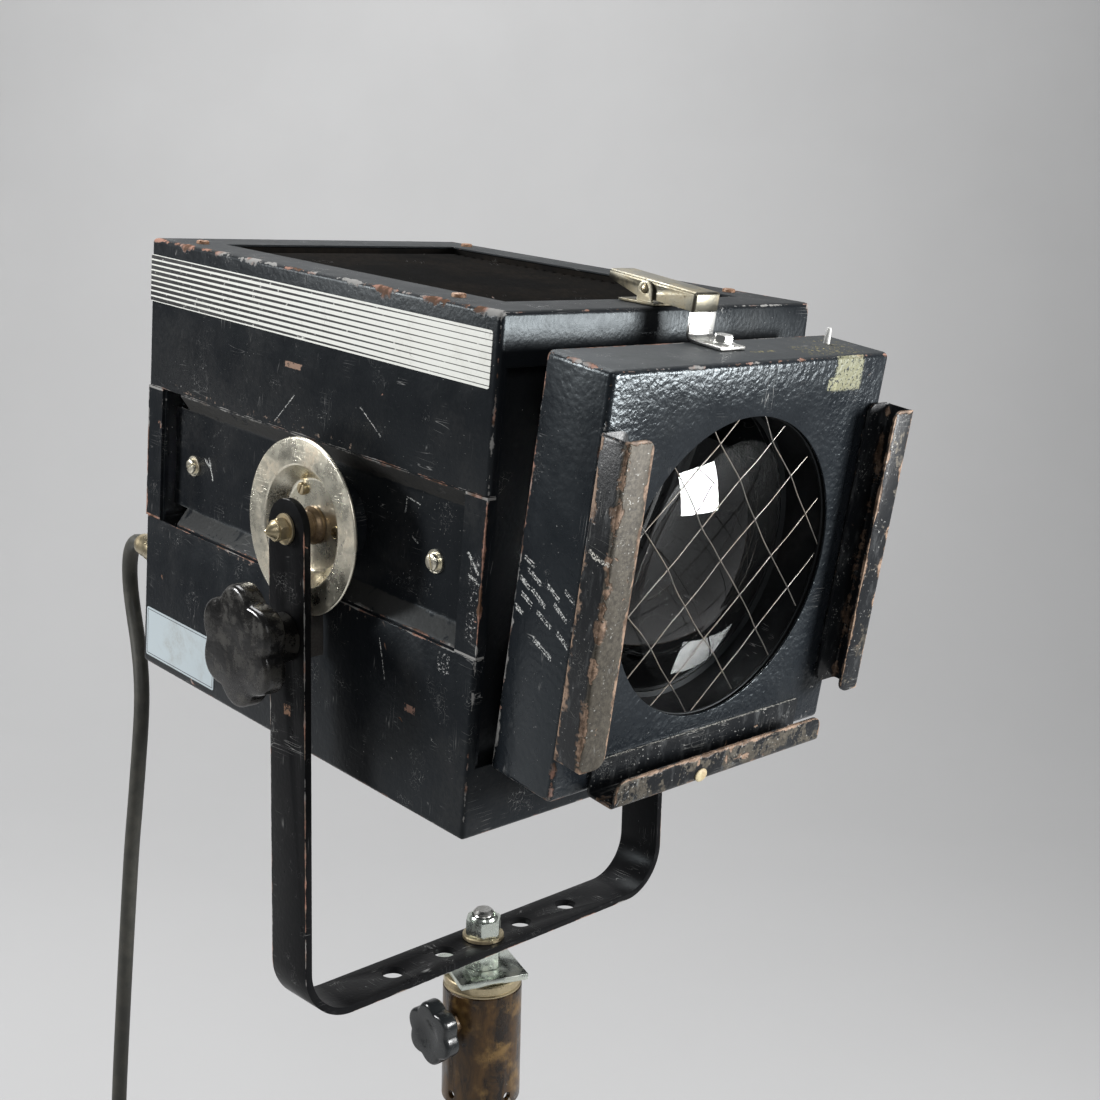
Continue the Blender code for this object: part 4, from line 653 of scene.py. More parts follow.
def makePlastic(name, **changes):
    look = {**plasticLook, **changes}
    material, shader, vector = startMaterial(name)
    scuff = useGroup(blotches, vector, Scale=look["scuffScale"], Cover=look["scuffCover"])
    marks = useGroup(scratches, vector, Scale=look["scratchScale"], Amount=look["scratchAmount"])
    colour = mixColour(scuff * look["scuffDepth"], look["plastic"], look["scuff"])
    colour = mixColour(marks * look["scratchDepth"], colour, look["scratch"])
    rough = remap(scuff + marks, 0.0, 1.2, look["roughness"], look["scuffRoughness"], soft=False)
    dressed(shader, colour, rough)
    addBump(shader, noiseOf(vector, look["grainScale"], 3.0, 0.6) - marks, look["grainDepth"])
    return material


def makeGlass(name, tint, ior, mirroring):
    material, shader, vector = startMaterial(name)
    shader.inputs["Transmission Weight"].default_value = 1.0
    shader.inputs["IOR"].default_value = ior
    shader.inputs["Specular IOR Level"].default_value = mirroring
    shader.inputs["Roughness"].default_value = 0.0
    smear = useGroup(blotches, vector, Scale=22.0, Cover=0.35)
    feed(shader.inputs["Base Color"], mixColour(smear, tint, tuple(c * 0.95 for c in tint)))
    return material


# the finishes, by piece

def strokesOn(face, lines):
    # lines are (y, z, y, z, width) in millimetres on a face at the given x
    return [
        ((face, a / 1000, b / 1000), (face, c / 1000, d / 1000), width / 1000)
        for a, b, c, d, width in lines
    ]


# the left faces of the housing, its tray, the lens box, the yoke and the left runner
sideFace, trayFace, boxFace, yokeFace, runnerFace = -0.1105, -0.102, -0.1005, -0.1353, -0.105
paleScuff = (0.50, 0.50, 0.49)
rimRust = (0.32, 0.24, 0.19)
tapeTint = (0.35, 0.34, 0.20)
glueTint = (0.36, 0.31, 0.12)

housingEnamel = makeEnamel(
    "housingEnamel", bodyPlace,
    # edge bands: worn paint, and along the thin vertical front edge also a painted highlight on the rounded
    # fold
    edges=[
        ((0, 0.146, 0.125), (0.1105, 0.146, 0.125), 0.0011),
        ((0, 0.146, 0.100), (0.1105, 0.300, 0.150), 0.0030),
        ((0, 0.146, 0.2085), (0.1105, 0.146, 0.0415), 0.0005),
        ((0, 0.146, 0.045), (0.1105, 0.146, 0.045), 0.0005),
    ],
    patches=[
        ((sideFace, 0.152, 0.2010), (0.001, 0.0075, 0.0016), 240.0, 0.75, (0.34, 0.22, 0.16), 0.9),
        ((sideFace, 0.022, 0.082), (0.001, 0.005, 0.006), 700.0, 0.36, paleScuff, 0.8),
        ((sideFace, 0.005, 0.118), (0.001, 0.004, 0.024), 700.0, 0.34, paleScuff, 0.8),
        ((sideFace, 0.044, 0.052), (0.001, 0.004, 0.002), 400.0, 0.7, (0.34, 0.20, 0.15), 0.9),
        ((sideFace, 0.180, 0.1700), (0.001, 0.100, 0.0020), 300.0, 0.3, rimRust, 0.8),
        ((sideFace, 0.150, 0.0885), (0.001, 0.100, 0.0016), 300.0, 0.3, rimRust, 0.8),
    ],
    strokes=strokesOn(sideFace, [
        (95, 190, 78, 179, 0.5), (150, 186, 166, 170, 0.4), (10, 139, 3, 131, 1.0),
        (9, 129, 2, 126, 0.9), (70, 80, 64, 60, 0.4), (25.5, 109, 24.5, 99, 0.6),
    ]),
    topDust=(0.2496, 0.2),
)
trayEnamel = makeEnamel(
    "trayEnamel", bodyPlace, chipAmount=0.15, dustCover=0.4,
    edges=[((0, 0.146, 0.1285), (0.109, 0.129, 0.036), 0.0005)],
    patches=[
        # the tray's upper and lower bevel strips are painted lighter: painted sheen where they catch the
        # light
        ((-0.1055, 0.146, 0.1612), (0.0045, 0.140, 0.0048), 60.0, 0.75, (0.040, 0.038, 0.035), 0.7),
        ((-0.1055, 0.146, 0.0958), (0.0045, 0.140, 0.0048), 60.0, 0.75, (0.036, 0.035, 0.033), 0.7),
    ],
    strokes=strokesOn(trayFace, [
        (66, 151.5, 56, 150, 0.5), (66, 151.5, 66.5, 144, 0.5), (240, 133, 236, 122, 1.0),
        (244, 132, 240, 129, 0.8), (60, 133, 56, 131, 0.6),
    ]),
)
panelEnamel = makeEnamel(
    "panelEnamel", bodyPlace, paint=(0.0105, 0.0115, 0.013), peelScale=300.0, peelDepth=0.0003,
    chipAmount=0.1, scratchAmount=0.2,
)
louvreEnamel = makeEnamel(
    "louvreEnamel", bodyPlace, paint=(0.0072, 0.0068, 0.0064), dust=(0.045, 0.034, 0.025),
    dustScale=18.0, dustCover=0.5, dustDepth=0.2, roughness=0.75, chipAmount=0.1, specular=0.03,
    speckAmount=0.0, scratchAmount=0.2,
)
holderBlack = makeEnamel(
    "holderBlack", doorPlace, paint=(0.006, 0.006, 0.0065), roughness=0.45, chipAmount=0.05,
    scratchAmount=0.15, speckAmount=0.1, specular=0.2,
)
chalkDashes = [
    (36, 106, 30, 104), (33, 101, 24, 97), (37, 96, 31, 93), (29, 93, 20, 88), (35, 89, 28, 86),
    (24, 84, 15, 80), (20, 98, 12, 94), (14, 91, 6, 86), (9, 99, 3, 96), (24, 71, 12, 66),
    (10, 79, 3, 75), (38, 82, 33, 80),
]
boxEnamel = makeEnamel(
    "boxEnamel", doorPlace, paint=(0.0095, 0.0118, 0.0148), peelScale=330.0, peelDepth=0.0006,
    roughness=0.28, chipAmount=0.2, scratchAmount=0.3, dustCover=0.3, dustDepth=0.08, specular=0.38,
    flatFrom=0.0006,
    edges=[((0, 0.0197, 0.10015), (0.1005, 0.0197, 0.10015), 0.0015)],
    patches=[
        ((0.0680, 0.0, 0.193), (0.0115, 0.0016, 0.0105), 520.0, 0.72, tapeTint, 0.55),
        ((0.0560, 0.0, 0.1865), (0.004, 0.0014, 0.0035), 520.0, 0.6, tapeTint, 0.6),
        ((0.0640, 0.0125, 0.2003), (0.026, 0.0110, 0.0012), 640.0, 0.34, glueTint, 0.9),
        ((0.0800, 0.0280, 0.2003), (0.018, 0.0110, 0.0012), 700.0, 0.28, glueTint, 0.9),
        ((0.0180, 0.0160, 0.2003), (0.010, 0.0016, 0.0012), 600.0, 0.42, glueTint, 0.9),
    ],
    strokes=strokesOn(boxFace, [  # each dash is two strokes, one above the other
        (a, b + shift, c, d + shift, 0.6) for a, b, c, d in chalkDashes for shift in (0.0, 1.4)
    ]),
    topDust=(0.2, 0.2),
)
yokeEnamel = makeEnamel(
    "yokeEnamel", paint=(0.0072, 0.0072, 0.0078), scratchAmount=0.6, scratchDepth=0.8, dustDepth=0.06,
    chipAmount=0.16, chipScale=150.0, roughness=0.32, peelScale=500.0, peelDepth=0.0001,
    bare=(0.24, 0.19, 0.15), specular=0.06, speckAmount=0.3,
    edges=[((0, 0, 0.232), (0.1353, 0.015, 0.138), 0.0005)],
    patches=[
        ((yokeFace, 0.0, 0.2624), (0.001, 0.0030, 0.0030), 700.0, 0.6, (0.20, 0.12, 0.08), 0.9),
        ((-0.1300, 0.0, 0.0990), (0.006, 0.0160, 0.0060), 260.0, 0.40, (0.42, 0.42, 0.41), 0.9),
    ],
)

runnerLook = {
    "paint": (0.0085, 0.0098, 0.0115), "rubbedPaint": (0.055, 0.058, 0.060),
    "darkSteel": (0.046, 0.041, 0.034), "paleSteel": (0.105, 0.094, 0.075),
    "smearedSteel": (0.062, 0.054, 0.042),
    "darkRust": (0.100, 0.064, 0.042), "paleRust": (0.30, 0.205, 0.145),
    "scratch": (0.40, 0.40, 0.38), "markAndGlint": (0.66, 0.64, 0.58),
    "lipFrom": 0.0154, "lipTo": 0.0166, "chipScale": 75.0, "chipAmount": 0.58, "foldBreakup": 58.0,
    "roughness": 0.32, "wornRoughness": 0.56, "metallic": 0.3, "specular": 0.28, "grainDepth": 0.0003,
}


def makeRunnerFinish(name, folds, lipWear, strokes=()):
    # black paint, worn to steel on the front lip and to brown at the folds; pale strokes are marks, and on
    # the bottom runner a painted highlight
    look = runnerLook
    material, shader, vector = startMaterial(name, doorPlace)
    x, y, z = splitVector(vector)
    mirrored = joinVector(abs(x), y, z)
    rough = noiseOf(vector, 70.0, 6.0, 0.72, 0.4)
    fine = noiseOf(vector, 520.0, 3.0, 0.7)
    smear = noiseOf(stretched(vector, (1, 1, 0.35)), 190.0, 4.0, 0.7)
    paint = mixColour(remap(smear, 0.5, 0.75), look["paint"], look["rubbedPaint"])
    steel = mixColour(remap(fine, 0.3, 0.7), look["darkSteel"], look["paleSteel"])
    steel = mixColour(remap(smear, 0.45, 0.7), steel, look["smearedSteel"])
    rustTone = remap(noiseOf(vector, 150.0, 4.0, 0.7), 0.40, 0.60)
    rust = mixColour(rustTone, look["darkRust"], look["paleRust"])
    onLip = remap(y * -1.0 + (rough - 0.5) * 0.004, look["lipFrom"], look["lipTo"])
    bare = onLip * remap(rough + fine * 0.3, 0.86 - 0.45 * lipWear, 0.91 - 0.45 * lipWear)
    colour = mixColour(bare, paint, steel)
    worn = useGroup(paintChips, vector, Scale=look["chipScale"], Amount=look["chipAmount"])
    for centre, half, width in folds:
        fold = {"Centre": centre, "Half": half, "Width": width, "Breakup": look["foldBreakup"]}
        worn = most(worn, useGroup(edgeWearAndGlint, mirrored, **fold))
    colour = mixColour(worn, colour, rust)
    dots = useGroup(specks, vector, Scale=800.0, Amount=0.8)
    marks = most(dots, useGroup(scratches, vector, Scale=1.2, Amount=0.65))
    colour = mixColour(marks * 0.6, colour, look["scratch"])
    for start, end, width in strokes:
        line = useGroup(strokeMark, vector, From=start, To=end, Width=width)
        colour = mixColour(line, colour, look["markAndGlint"])
    rough = remap(most(bare, worn), 0.0, 1.0, look["roughness"], look["wornRoughness"], soft=False)
    dressed(shader, colour, rough)
    feed(shader.inputs["Metallic"], bare * (1.0 - worn) * look["metallic"])
    shader.inputs["Specular IOR Level"].default_value = look["specular"]
    addBump(shader, fine * 0.4 - worn, look["grainDepth"])
    return material


sideFolds = [
    ((0.0966, -0.0090, 0.0995), (0.0084, 0.0090, 0.0755), 0.0016),
    ((0.0900, -0.0100, 0.0995), (0.0150, 0.0080, 0.0950), 0.0034),
]
bottomFolds = [((0.0, -0.0130, 0.0060), (0.0765, 0.0050, 0.0070), 0.0015)]
leftRunnerPaint = makeRunnerFinish(
    "leftRunnerPaint", sideFolds, 1.0,
    strokesOn(runnerFace, [(-6.6, 124.4, -10.1, 122.2, 1.3), (-10.1, 122.2, -16.5, 121.4, 1.2)]))
rightRunnerPaint = makeRunnerFinish("rightRunnerPaint", sideFolds, 0.35)
# the pale line along the top edge of the bottom runner's back lip is a painted highlight
bottomRunnerPaint = makeRunnerFinish(
    "bottomRunnerPaint", bottomFolds, 0.45,
    [((-0.0750, -0.0010, 0.0162), (0.0750, -0.0010, 0.0162), 0.0008)])

dishNickel = makeMetal(
    "dishNickel", metal=(0.90, 0.86, 0.72), stain=(0.30, 0.20, 0.11), stainScale=38.0, stainCover=0.42,
    speck=(0.13, 0.105, 0.07), speckScale=800.0, speckDepth=0.6, scratchAmount=0.9, roughness=0.27)
latchNickel = makeMetal(
    "latchNickel", metal=(0.19, 0.183, 0.15), stain=(0.24, 0.19, 0.10), stainScale=90.0, stainCover=0.5,
    stainDepth=0.55, speck=(0.12, 0.10, 0.06), speckScale=500.0, speckDepth=0.6, roughness=0.33)
strapSteel = makeMetal("strapSteel", metal=(0.82, 0.82, 0.79), stainCover=0.25, roughness=0.3)
zincPlate = makeMetal(
    "zincPlate", metal=(0.66, 0.71, 0.65), stain=(0.36, 0.34, 0.24), stainScale=85.0, stainCover=0.36,
    stainDepth=0.55, speckDepth=0.3, roughness=0.24)
oldBrass = makeMetal(
    "oldBrass", metal=(0.54, 0.46, 0.30), stain=(0.22, 0.16, 0.09), stainCover=0.45, speckDepth=0.4)
bushBronze = makeMetal(
    "bushBronze", metal=(0.26, 0.19, 0.115), stain=(0.10, 0.062, 0.035), stainCover=0.5, stainDepth=0.8,
    roughness=0.36)
darkSteel = makeMetal(
    "darkSteel", metal=(0.16, 0.15, 0.14), stain=(0.05, 0.045, 0.04), stainCover=0.5, stainDepth=0.8,
    roughness=0.4)
plainSteel = makeMetal("plainSteel")
rustySteel = makeMetal(
    "rustySteel", metal=(0.30, 0.22, 0.16), stain=(0.24, 0.11, 0.05), stainCover=0.7, stainDepth=0.9,
    roughness=0.5, metallic=0.7, stainMetallic=0.1, grainScale=700.0, grainDepth=0.0002)
guardSteel = makeMetal("guardSteel", metal=(0.27, 0.26, 0.24), stainCover=0.5, roughness=0.34)
mirrorMetal = makeMetal(
    "mirrorMetal", metal=(0.24, 0.235, 0.22), stainCover=0.15, stainDepth=0.25, speckDepth=0.1,
    roughness=0.08, grainDepth=0.00001)
ceramicGlaze = makePlastic(
    "ceramicGlaze", plastic=(0.66, 0.62, 0.55), scuff=(0.35, 0.30, 0.25), scratch=(0.4, 0.36, 0.3),
    roughness=0.5)
bakelite = makePlastic("bakelite")
starPlastic = makePlastic(
    "starPlastic", plastic=(0.016, 0.018, 0.019), scuff=(0.10, 0.10, 0.10), scuffCover=0.3, scuffDepth=0.2,
    scratchAmount=0.35, roughness=0.2)
cordRubber = makePlastic(
    "cordRubber", plastic=(0.030, 0.030, 0.024), scuff=(0.085, 0.08, 0.065), scuffCover=0.5,
    roughness=0.5, scuffRoughness=0.75, scratchAmount=0.3)
plugRubber = makePlastic("plugRubber", plastic=(0.014, 0.014, 0.013), roughness=0.45)
lensGlass = makeGlass("lensGlass", (0.76, 0.78, 0.78), 1.5, 0.36)
lampGlass = makeGlass("lampGlass", (0.96, 0.96, 0.95), 1.46, 0.5)
print("materials made")

# supply cable, coil, tie and plug; the route repeats the solids'
cordFacts = {
    "radius": 0.00475,
    "glandAcross": 0.0965, "glandHeight": 0.0635, "glandLength": 0.028, "bodyLength": 0.292,
    "route": [
        (-0.0957, 0.2150, 0.3086), (-0.0940, 0.2230, 0.3045), (-0.0924, 0.2295, 0.2965),
        (-0.0912, 0.2330, 0.2860), (-0.0910, 0.2325, 0.2735), (-0.0917, 0.2282, 0.2592),
        (-0.0933, 0.2215, 0.2445), (-0.0957, 0.2145, 0.2290), (-0.0982, 0.2095, 0.2130),
        (-0.1008, 0.2070, 0.1940), (-0.1038, 0.2065, 0.1668), (-0.1058, 0.2082, 0.1390),
        (-0.1074, 0.2110, 0.1090), (-0.1094, 0.2170, 0.0450), (-0.1110, 0.2220, -0.0116),
        (-0.1124, 0.2255, -0.0585), (-0.1130, 0.2272, -0.0900), (-0.1132, 0.2278, -0.1150),
        (-0.1132, 0.2280, -0.1400),
    ],
    "coilTurns": 3, "coilRadius": 0.0525, "coilPitch": 0.0101, "pointsPerTurn": 24, "tail": 0.046,
    "seatGap": 0.0003,
}


def smoothRoute(points, steps):
    padded = [points[0] * 2 - points[1]] + points + [points[-1] * 2 - points[-2]]
    path = []
    for a, b, c, d in zip(padded, padded[1:], padded[2:], padded[3:]):
        square, cube = 2 * a - 5 * b + 4 * c - d, 3 * b - a - 3 * c + d
        for t in [step / steps for step in range(steps)]:
            path.append(0.5 * ((2 * b) + (c - a) * t + square * t ** 2 + cube * t ** 3))
    return path + [points[-1]]


def makeCord():
    facts = cordFacts
    across, height, end = facts["glandAcross"], facts["glandHeight"], facts["bodyLength"]
    inside = bodyPlace @ Vector((-across, end - 0.008, height))
    leave = bodyPlace @ Vector((-across, end + facts["glandLength"] + 0.0006, height))
    route = smoothRoute([leave] + [Vector(p) for p in facts["route"]], 3)
    points = [inside, inside.lerp(leave, 0.5)] + route
    entry = points[-1]
    radius, thick, perTurn = facts["coilRadius"], facts["radius"] * 2, facts["pointsPerTurn"]
    points.append(entry - Vector((0, 0, thick)))
    for i in range(1, facts["coilTurns"] * perTurn + 1):
        angle = math.tau * i / perTurn
        points.append(Vector((
            entry.x + facts["coilPitch"] * i / perTurn,
            entry.y - radius + radius * math.cos(angle),
            entry.z - thick - radius * math.sin(angle),
        )))
    points.append(points[-1] - Vector((0, 0, facts["tail"])))
    curve = bpy.data.curves.new("supplyCable", "CURVE")
    curve.dimensions = "3D"
    curve.bevel_depth = facts["radius"]
    curve.bevel_resolution = 5
    curve.use_fill_caps = True
    spline = curve.splines.new("POLY")
    spline.points.add(len(points) - 1)
    for target, point in zip(spline.points, points):
        target.co = (*point, 1.0)
    spline.use_smooth = True
    cable = bpy.data.objects.new("supplyCable", curve)
    scene.collection.objects.link(cable)
    curve.materials.append(cordRubber)
    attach(cable, "housing")
    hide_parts("cable", "cable_coil")
    length = sum((b - a).length for a, b in zip(points, points[1:]))
    return cable, inside, length, points[-1], entry


plugLook = {
    "neckRadius": 0.0072, "neckLength": 0.016, "ribs": 4, "ribPitch": 0.0036,
    "radius": 0.0185, "length": 0.050, "flutes": 12, "fluteRadius": 0.0014,
    "pinRadius": 0.0024, "pinLength": 0.019, "pinHalfSpacing": 0.0095,
}


def makePlug(end):
    look = plugLook
    top = end.z - cordFacts["seatGap"]
    neck, neckRadius, radius = look["neckLength"], look["neckRadius"], look["radius"]
    profile = [(0, 0), (neckRadius * 0.8, 0)]
    for rib in range(look["ribs"]):
        z = -0.001 - rib * look["ribPitch"]
        wide, narrow = neckRadius * (0.82 + 0.05 * rib), neckRadius * (0.70 + 0.06 * rib)
        profile += [(wide, z), (wide, z - 0.0022), (narrow, z - 0.0026), (narrow, z - 0.0034)]
    profile += [(neckRadius, -neck), (radius * 0.8, -neck - 0.006), (radius * 0.96, -neck - 0.011)]
    base = -neck - look["length"]
    profile += [(radius, -neck - 0.014), (radius, base + 0.0015), (radius - 0.0015, base), (0, base)]
    bm = spunMesh(profile, 64, (end.x, end.y, top))
    grip = radius - 0.0006
    for flute in range(look["flutes"]):
        angle = math.tau * flute / look["flutes"]
        foot = (end.x + grip * math.cos(angle), end.y + grip * math.sin(angle), top + base + 0.010)
        addRound(bm, look["fluteRadius"], look["length"] * 0.5, foot, sides=10)
    plug = finishPiece("mainsPlug", bm, plugRubber, "housing", hides=("plug",))
    pin, tip = look["pinRadius"], -look["pinLength"]
    profile = [(0, 0.004), (pin, 0.004), (pin, tip + 0.001), (pin - 0.001, tip), (0, tip)]
    pins = bmesh.new()
    for side in (-1, 1):
        addSpun(pins, profile, 24, (end.x + side * look["pinHalfSpacing"], end.y, top + base))
    return plug, finishPiece("plugPins", pins, oldBrass, "housing")


tieFacts = {"clear": 0.0009, "inset": 0.0024, "corner": 0.003, "width": 0.009, "thick": 0.0012}


def makeTie(entry):
    # rubber strap round the top of the coil
    facts, tie = cordFacts, tieFacts
    thick, halfCoil = facts["radius"], facts["coilPitch"] * facts["coilTurns"] / 2
    across = halfCoil + thick + tie["clear"] - tie["inset"]
    height = thick + tie["clear"] - tie["inset"]
    loop = []
    for cx, cz, start in ((1, 1, 0), (-1, 1, 90), (-1, -1, 180), (1, -1, 270)):
        loop += arcPoints(cx * across, cz * height, tie["corner"], start, start + 90, 6)
    bm = shaped(stripMesh(loop, tie["width"], closed=True), wall=tie["thick"], offset=0.0, bevel=0.0003)
    radius = facts["coilRadius"]
    top = Matrix.Translation((entry.x + halfCoil, entry.y - radius, entry.z - 2 * thick + radius))
    return finishPiece("cableTie", bm, plugRubber, "housing", top, hides=("cable_tie",))


cable, cordStart, cordLength, cordEnd, coilEntry = makeCord()
plugPiece, plugPins = makePlug(cordEnd)
tiePiece = makeTie(coilEntry)
print(f"cord made, {cordLength:.3f} m")

# housing sheets
sheetFacts = {
    "halfWidth": 0.1105, "length": 0.292, "height": 0.250, "corner": 0.0025, "wall": 0.0012,
    "upperFrom": 0.167, "lowerTo": 0.090, "sideReturn": 0.005, "topStrip": 0.025, "bottomStrip": 0.036,
    "ventHalf": 0.083, "ventFrom": 0.028, "ventTo": 0.260, "glandHole": 0.0064,
    "focusHalf": 0.0045, "focusFrom": 0.068, "focusTo": 0.198,
    "slotRows": 7, "slotFrom": 0.0675, "slotPitch": 0.016, "slotWidth": 0.005,
    "slotAcross": 0.062, "slotHalf": 0.017,
}


def finishSheet(name, bm, cuts, node, material=housingEnamel):
    bm = shaped(bm, wall=sheetFacts["wall"], cuts=cuts, bevel=0.0003, bevelAngle=50)
    finishPiece(name, bm, material, "housing", bodyPlace, 30, (node,))


def makeTopCover():
    f = sheetFacts
    half, end, low, high = f["halfWidth"], f["length"], f["upperFrom"], f["height"]
    window = half - f["sideReturn"]
    shell = shellMesh((-half, 0, low), (half, end, high), [(0, 0, -1)], f["corner"])
    ends = [
        blockMesh((-window, y - 0.006, low - 0.02), (window, y + 0.006, high - f["topStrip"]))
        for y in (0, end)
    ]
    vent = f["ventHalf"]
    opening = blockMesh((-vent, f["ventFrom"], high - 0.01), (vent, f["ventTo"], high + 0.01))
    finishSheet("topCover", shell, ends + [opening], "top_cover")


def makeBottomCover():
    f = sheetFacts
    half, end, top = f["halfWidth"], f["length"], f["lowerTo"]
    window = half - f["sideReturn"]
    shell = shellMesh((-half, 0, 0), (half, end, top), [(0, 0, 1)], f["corner"])
    glandHole = (-cordFacts["glandAcross"], end - 0.015, cordFacts["glandHeight"])
    slots = bmesh.new()
    for x in (-f["slotAcross"], f["slotAcross"]):
        for row in range(f["slotRows"]):
            y = f["slotFrom"] + row * f["slotPitch"]
            low, high = (x - f["slotHalf"], y, -0.01), (x + f["slotHalf"], y + f["slotWidth"], 0.01)
            addBlock(slots, low, high)
    cuts = [
        blockMesh((-window, -0.006, f["bottomStrip"]), (window, 0.006, top + 0.02)),
        blockMesh((-f["focusHalf"], f["focusFrom"], -0.01), (f["focusHalf"], f["focusTo"], 0.01)),
        roundMesh(f["glandHole"], 0.03, glandHole, toBack),
        slots,
    ]
    finishSheet("bottomCover", shell, cuts, "bottom_cover")


trayFacts = {
    "lip": 0.109, "face": 0.102, "low": 0.0915, "high": 0.1655, "slope": 0.009, "tuck": 0.007,
    "bend": 0.0016, "from": 0.017, "to": 0.275, "notch": 0.0145, "pivotHole": 0.0055,
}


def makeTray(side, name, node):
    f = trayFacts
    lip, face, low, high = side * f["lip"], side * f["face"], f["low"], f["high"]
    corners = [
        (lip, low - f["tuck"]), (lip, low), (face, low + f["slope"]),
        (face, high - f["slope"]), (lip, high), (lip, high + f["tuck"]),
    ]
    strip = stripMesh(bentPath(corners, f["bend"], 4), f["to"] - f["from"])
    bmesh.ops.translate(strip, vec=(0, (f["to"] + f["from"]) / 2, 0), verts=strip.verts)
    cuts = [roundMesh(f["pivotHole"], 0.03, (face - 0.015, pivotInBody.y, pivotInBody.z), toRight)]
    outer, end = side * sheetFacts["halfWidth"], sheetFacts["length"]
    for bottom, top in ((0.05, low + f["slope"] - 0.0004), (high - f["slope"] + 0.0004, 0.20)):
        cuts.append(blockMesh((outer - 0.02, f["to"] - f["notch"], bottom), (outer + 0.02, end, top)))
    finishSheet(name, strip, cuts, node, trayEnamel)


makeTopCover()
makeBottomCover()
makeTray(-1, "sideTrayLeft", "side_tray_left")
makeTray(1, "sideTrayRight", "side_tray_right")
print("housing sheets made")

# slotted screws, each (radius, height, width of the slot)
trayScrew = (0.0042, 0.0026, 0.0009)
coverScrew = (0.0035, 0.0018, 0.0008)
hingeScrew = (0.0028, 0.0012, 0.0006)
dishScrew = (0.0033, 0.0024, 0.0009)
washerFacts = {"radius": 0.0058, "height": 0.0009}


def slottedHead(size, turn, base, axisTurn, onWasher=False):
    radius, height, slot = size
    profile = [(0, height), (radius * 0.8, height), (radius * 0.95, height * 0.85)]
    profile += [(radius, height * 0.6), (radius, -0.0004), (0, -0.0004)]
    groove = blockMesh((-slot / 2, -radius * 1.2, height * 0.5), (slot / 2, radius * 1.2, height * 2))
    bmesh.ops.rotate(groove, cent=(0, 0, 0), matrix=Matrix.Rotation(turn, 3, "Z"), verts=groove.verts)
    bm = shaped(spunMesh(profile, 32), cuts=[groove], bevel=0.0001)
    if onWasher:
        outer, inner, top = washerFacts["radius"], radius * 0.5, washerFacts["height"]
        bmesh.ops.translate(bm, vec=(0, 0, top), verts=bm.verts)
        addSpun(bm, [(outer, top), (outer, 0.0), (inner, 0.0), (inner, top)], 32)
    bmesh.ops.transform(bm, matrix=Matrix.Translation(base) @ axisTurn, verts=bm.verts)
    return bm


def finishScrews(name, heads, material, place=bodyPlace):
    whole = bmesh.new()
    for head in heads:
        mergeInto(whole, head)
    finishPiece(name, whole, material, "housing", place)


def makeHousingScrews():
    face, top, back = trayFacts["face"], sheetFacts["height"], sheetFacts["length"]
    heads = [
        slottedHead(trayScrew, turn, (sign * face, y, z), outward, True)
        for sign, outward in ((-1, toLeft), (1, toRight))
        for y, z, turn in ((0.255, 0.126, 0.5), (0.042, 0.1255, 1.9))
    ]
    finishScrews("trayScrews", heads, dishNickel)
    heads = [
        slottedHead(coverScrew, turn, (side * 0.0965, y, top), upright)
        for side, y, turn in ((-1, 0.045, 0.3), (1, 0.045, 1.2), (-1, 0.262, 2.2), (1, 0.262, 0.8))
    ]
    heads += [
        slottedHead(coverScrew, x * twist, (x, back, z), toBack)
        for x in (-0.055, 0.055)
        for z, twist in ((0.020, 30), (0.238, 50))
    ]
    finishScrews("coverScrews", heads, rustySteel)
    heads = [slottedHead(hingeScrew, x * 20, (x, -0.0018, 0.017), toFront) for x in (-0.045, 0.0, 0.045)]
    finishScrews("hingeScrews", heads, rustySteel)


makeHousingScrews()

# striped band and bare plate on the left side
foilFacts = {"outer": -0.1108, "inner": -0.11045, "corner": 0.0012}
bandFacts = {
    "from": 0.0045, "to": 0.2915, "low": 0.2150, "high": 0.2410, "lines": 9.0,
    "paper": (0.86, 0.87, 0.82), "grime": (0.40, 0.38, 0.31), "ink": (0.016, 0.016, 0.017),
    "scratch": (0.10, 0.09, 0.08),
}
plateFacts = {
    "from": 0.2150, "to": 0.2880, "low": 0.0054, "high": 0.0350, "halfLength": 0.0365, "halfHeight": 0.0148,
    "borderInset": 0.0013, "borderHalf": 0.00022,
    "face": (0.50, 0.57, 0.60), "grime": (0.30, 0.29, 0.26), "ink": (0.05, 0.05, 0.06),
}


def finishFoil(name, f, material):
    bm = blockMesh((foilFacts["outer"], f["from"], f["low"]), (foilFacts["inner"], f["to"], f["high"]))
    corners = [e for e in bm.edges if abs(e.verts[0].co.x - e.verts[1].co.x) > 1e-5]
    bmesh.ops.bevel(
        bm, geom=corners, offset=foilFacts["corner"], segments=3, profile=0.5, affect="EDGES", material=-1)
    finishPiece(name, bm, material, "housing", bodyPlace)


def makeStripedBand():
    # thin dark lines that grow thicker towards the back
    f = bandFacts
    material, shader, vector = startMaterial("stripedFoil", bodyPlace)
    y, z = splitVector(vector)[1:]
    along = (y - f["from"]) / (f["to"] - f["from"])
    phase = calc("FRACT", (z - f["low"]) / ((f["high"] - f["low"]) / f["lines"]))
    weight = remap(along, 0.12, 1.0, 0.07, 0.36, soft=False)
    line = remap(abs(phase - 0.5), weight - 0.035, weight + 0.035, 1.0, 0.0)
    grime = useGroup(blotches, vector, Scale=30.0, Cover=0.35)
    worn = remap(noiseOf(vector, 330.0, 4.0, 0.7), 0.25, 0.4)
    colour = mixColour(line * worn, mixColour(grime * 0.4, f["paper"], f["grime"]), f["ink"])
    marks = useGroup(scratches, vector, Scale=1.3, Amount=0.6)
    colour = mixColour(marks * 0.5, colour, f["scratch"])
    dressed(shader, colour, remap(grime, 0.0, 1.0, 0.35, 0.6, soft=False))
    finishFoil("stripedBand", f, material)


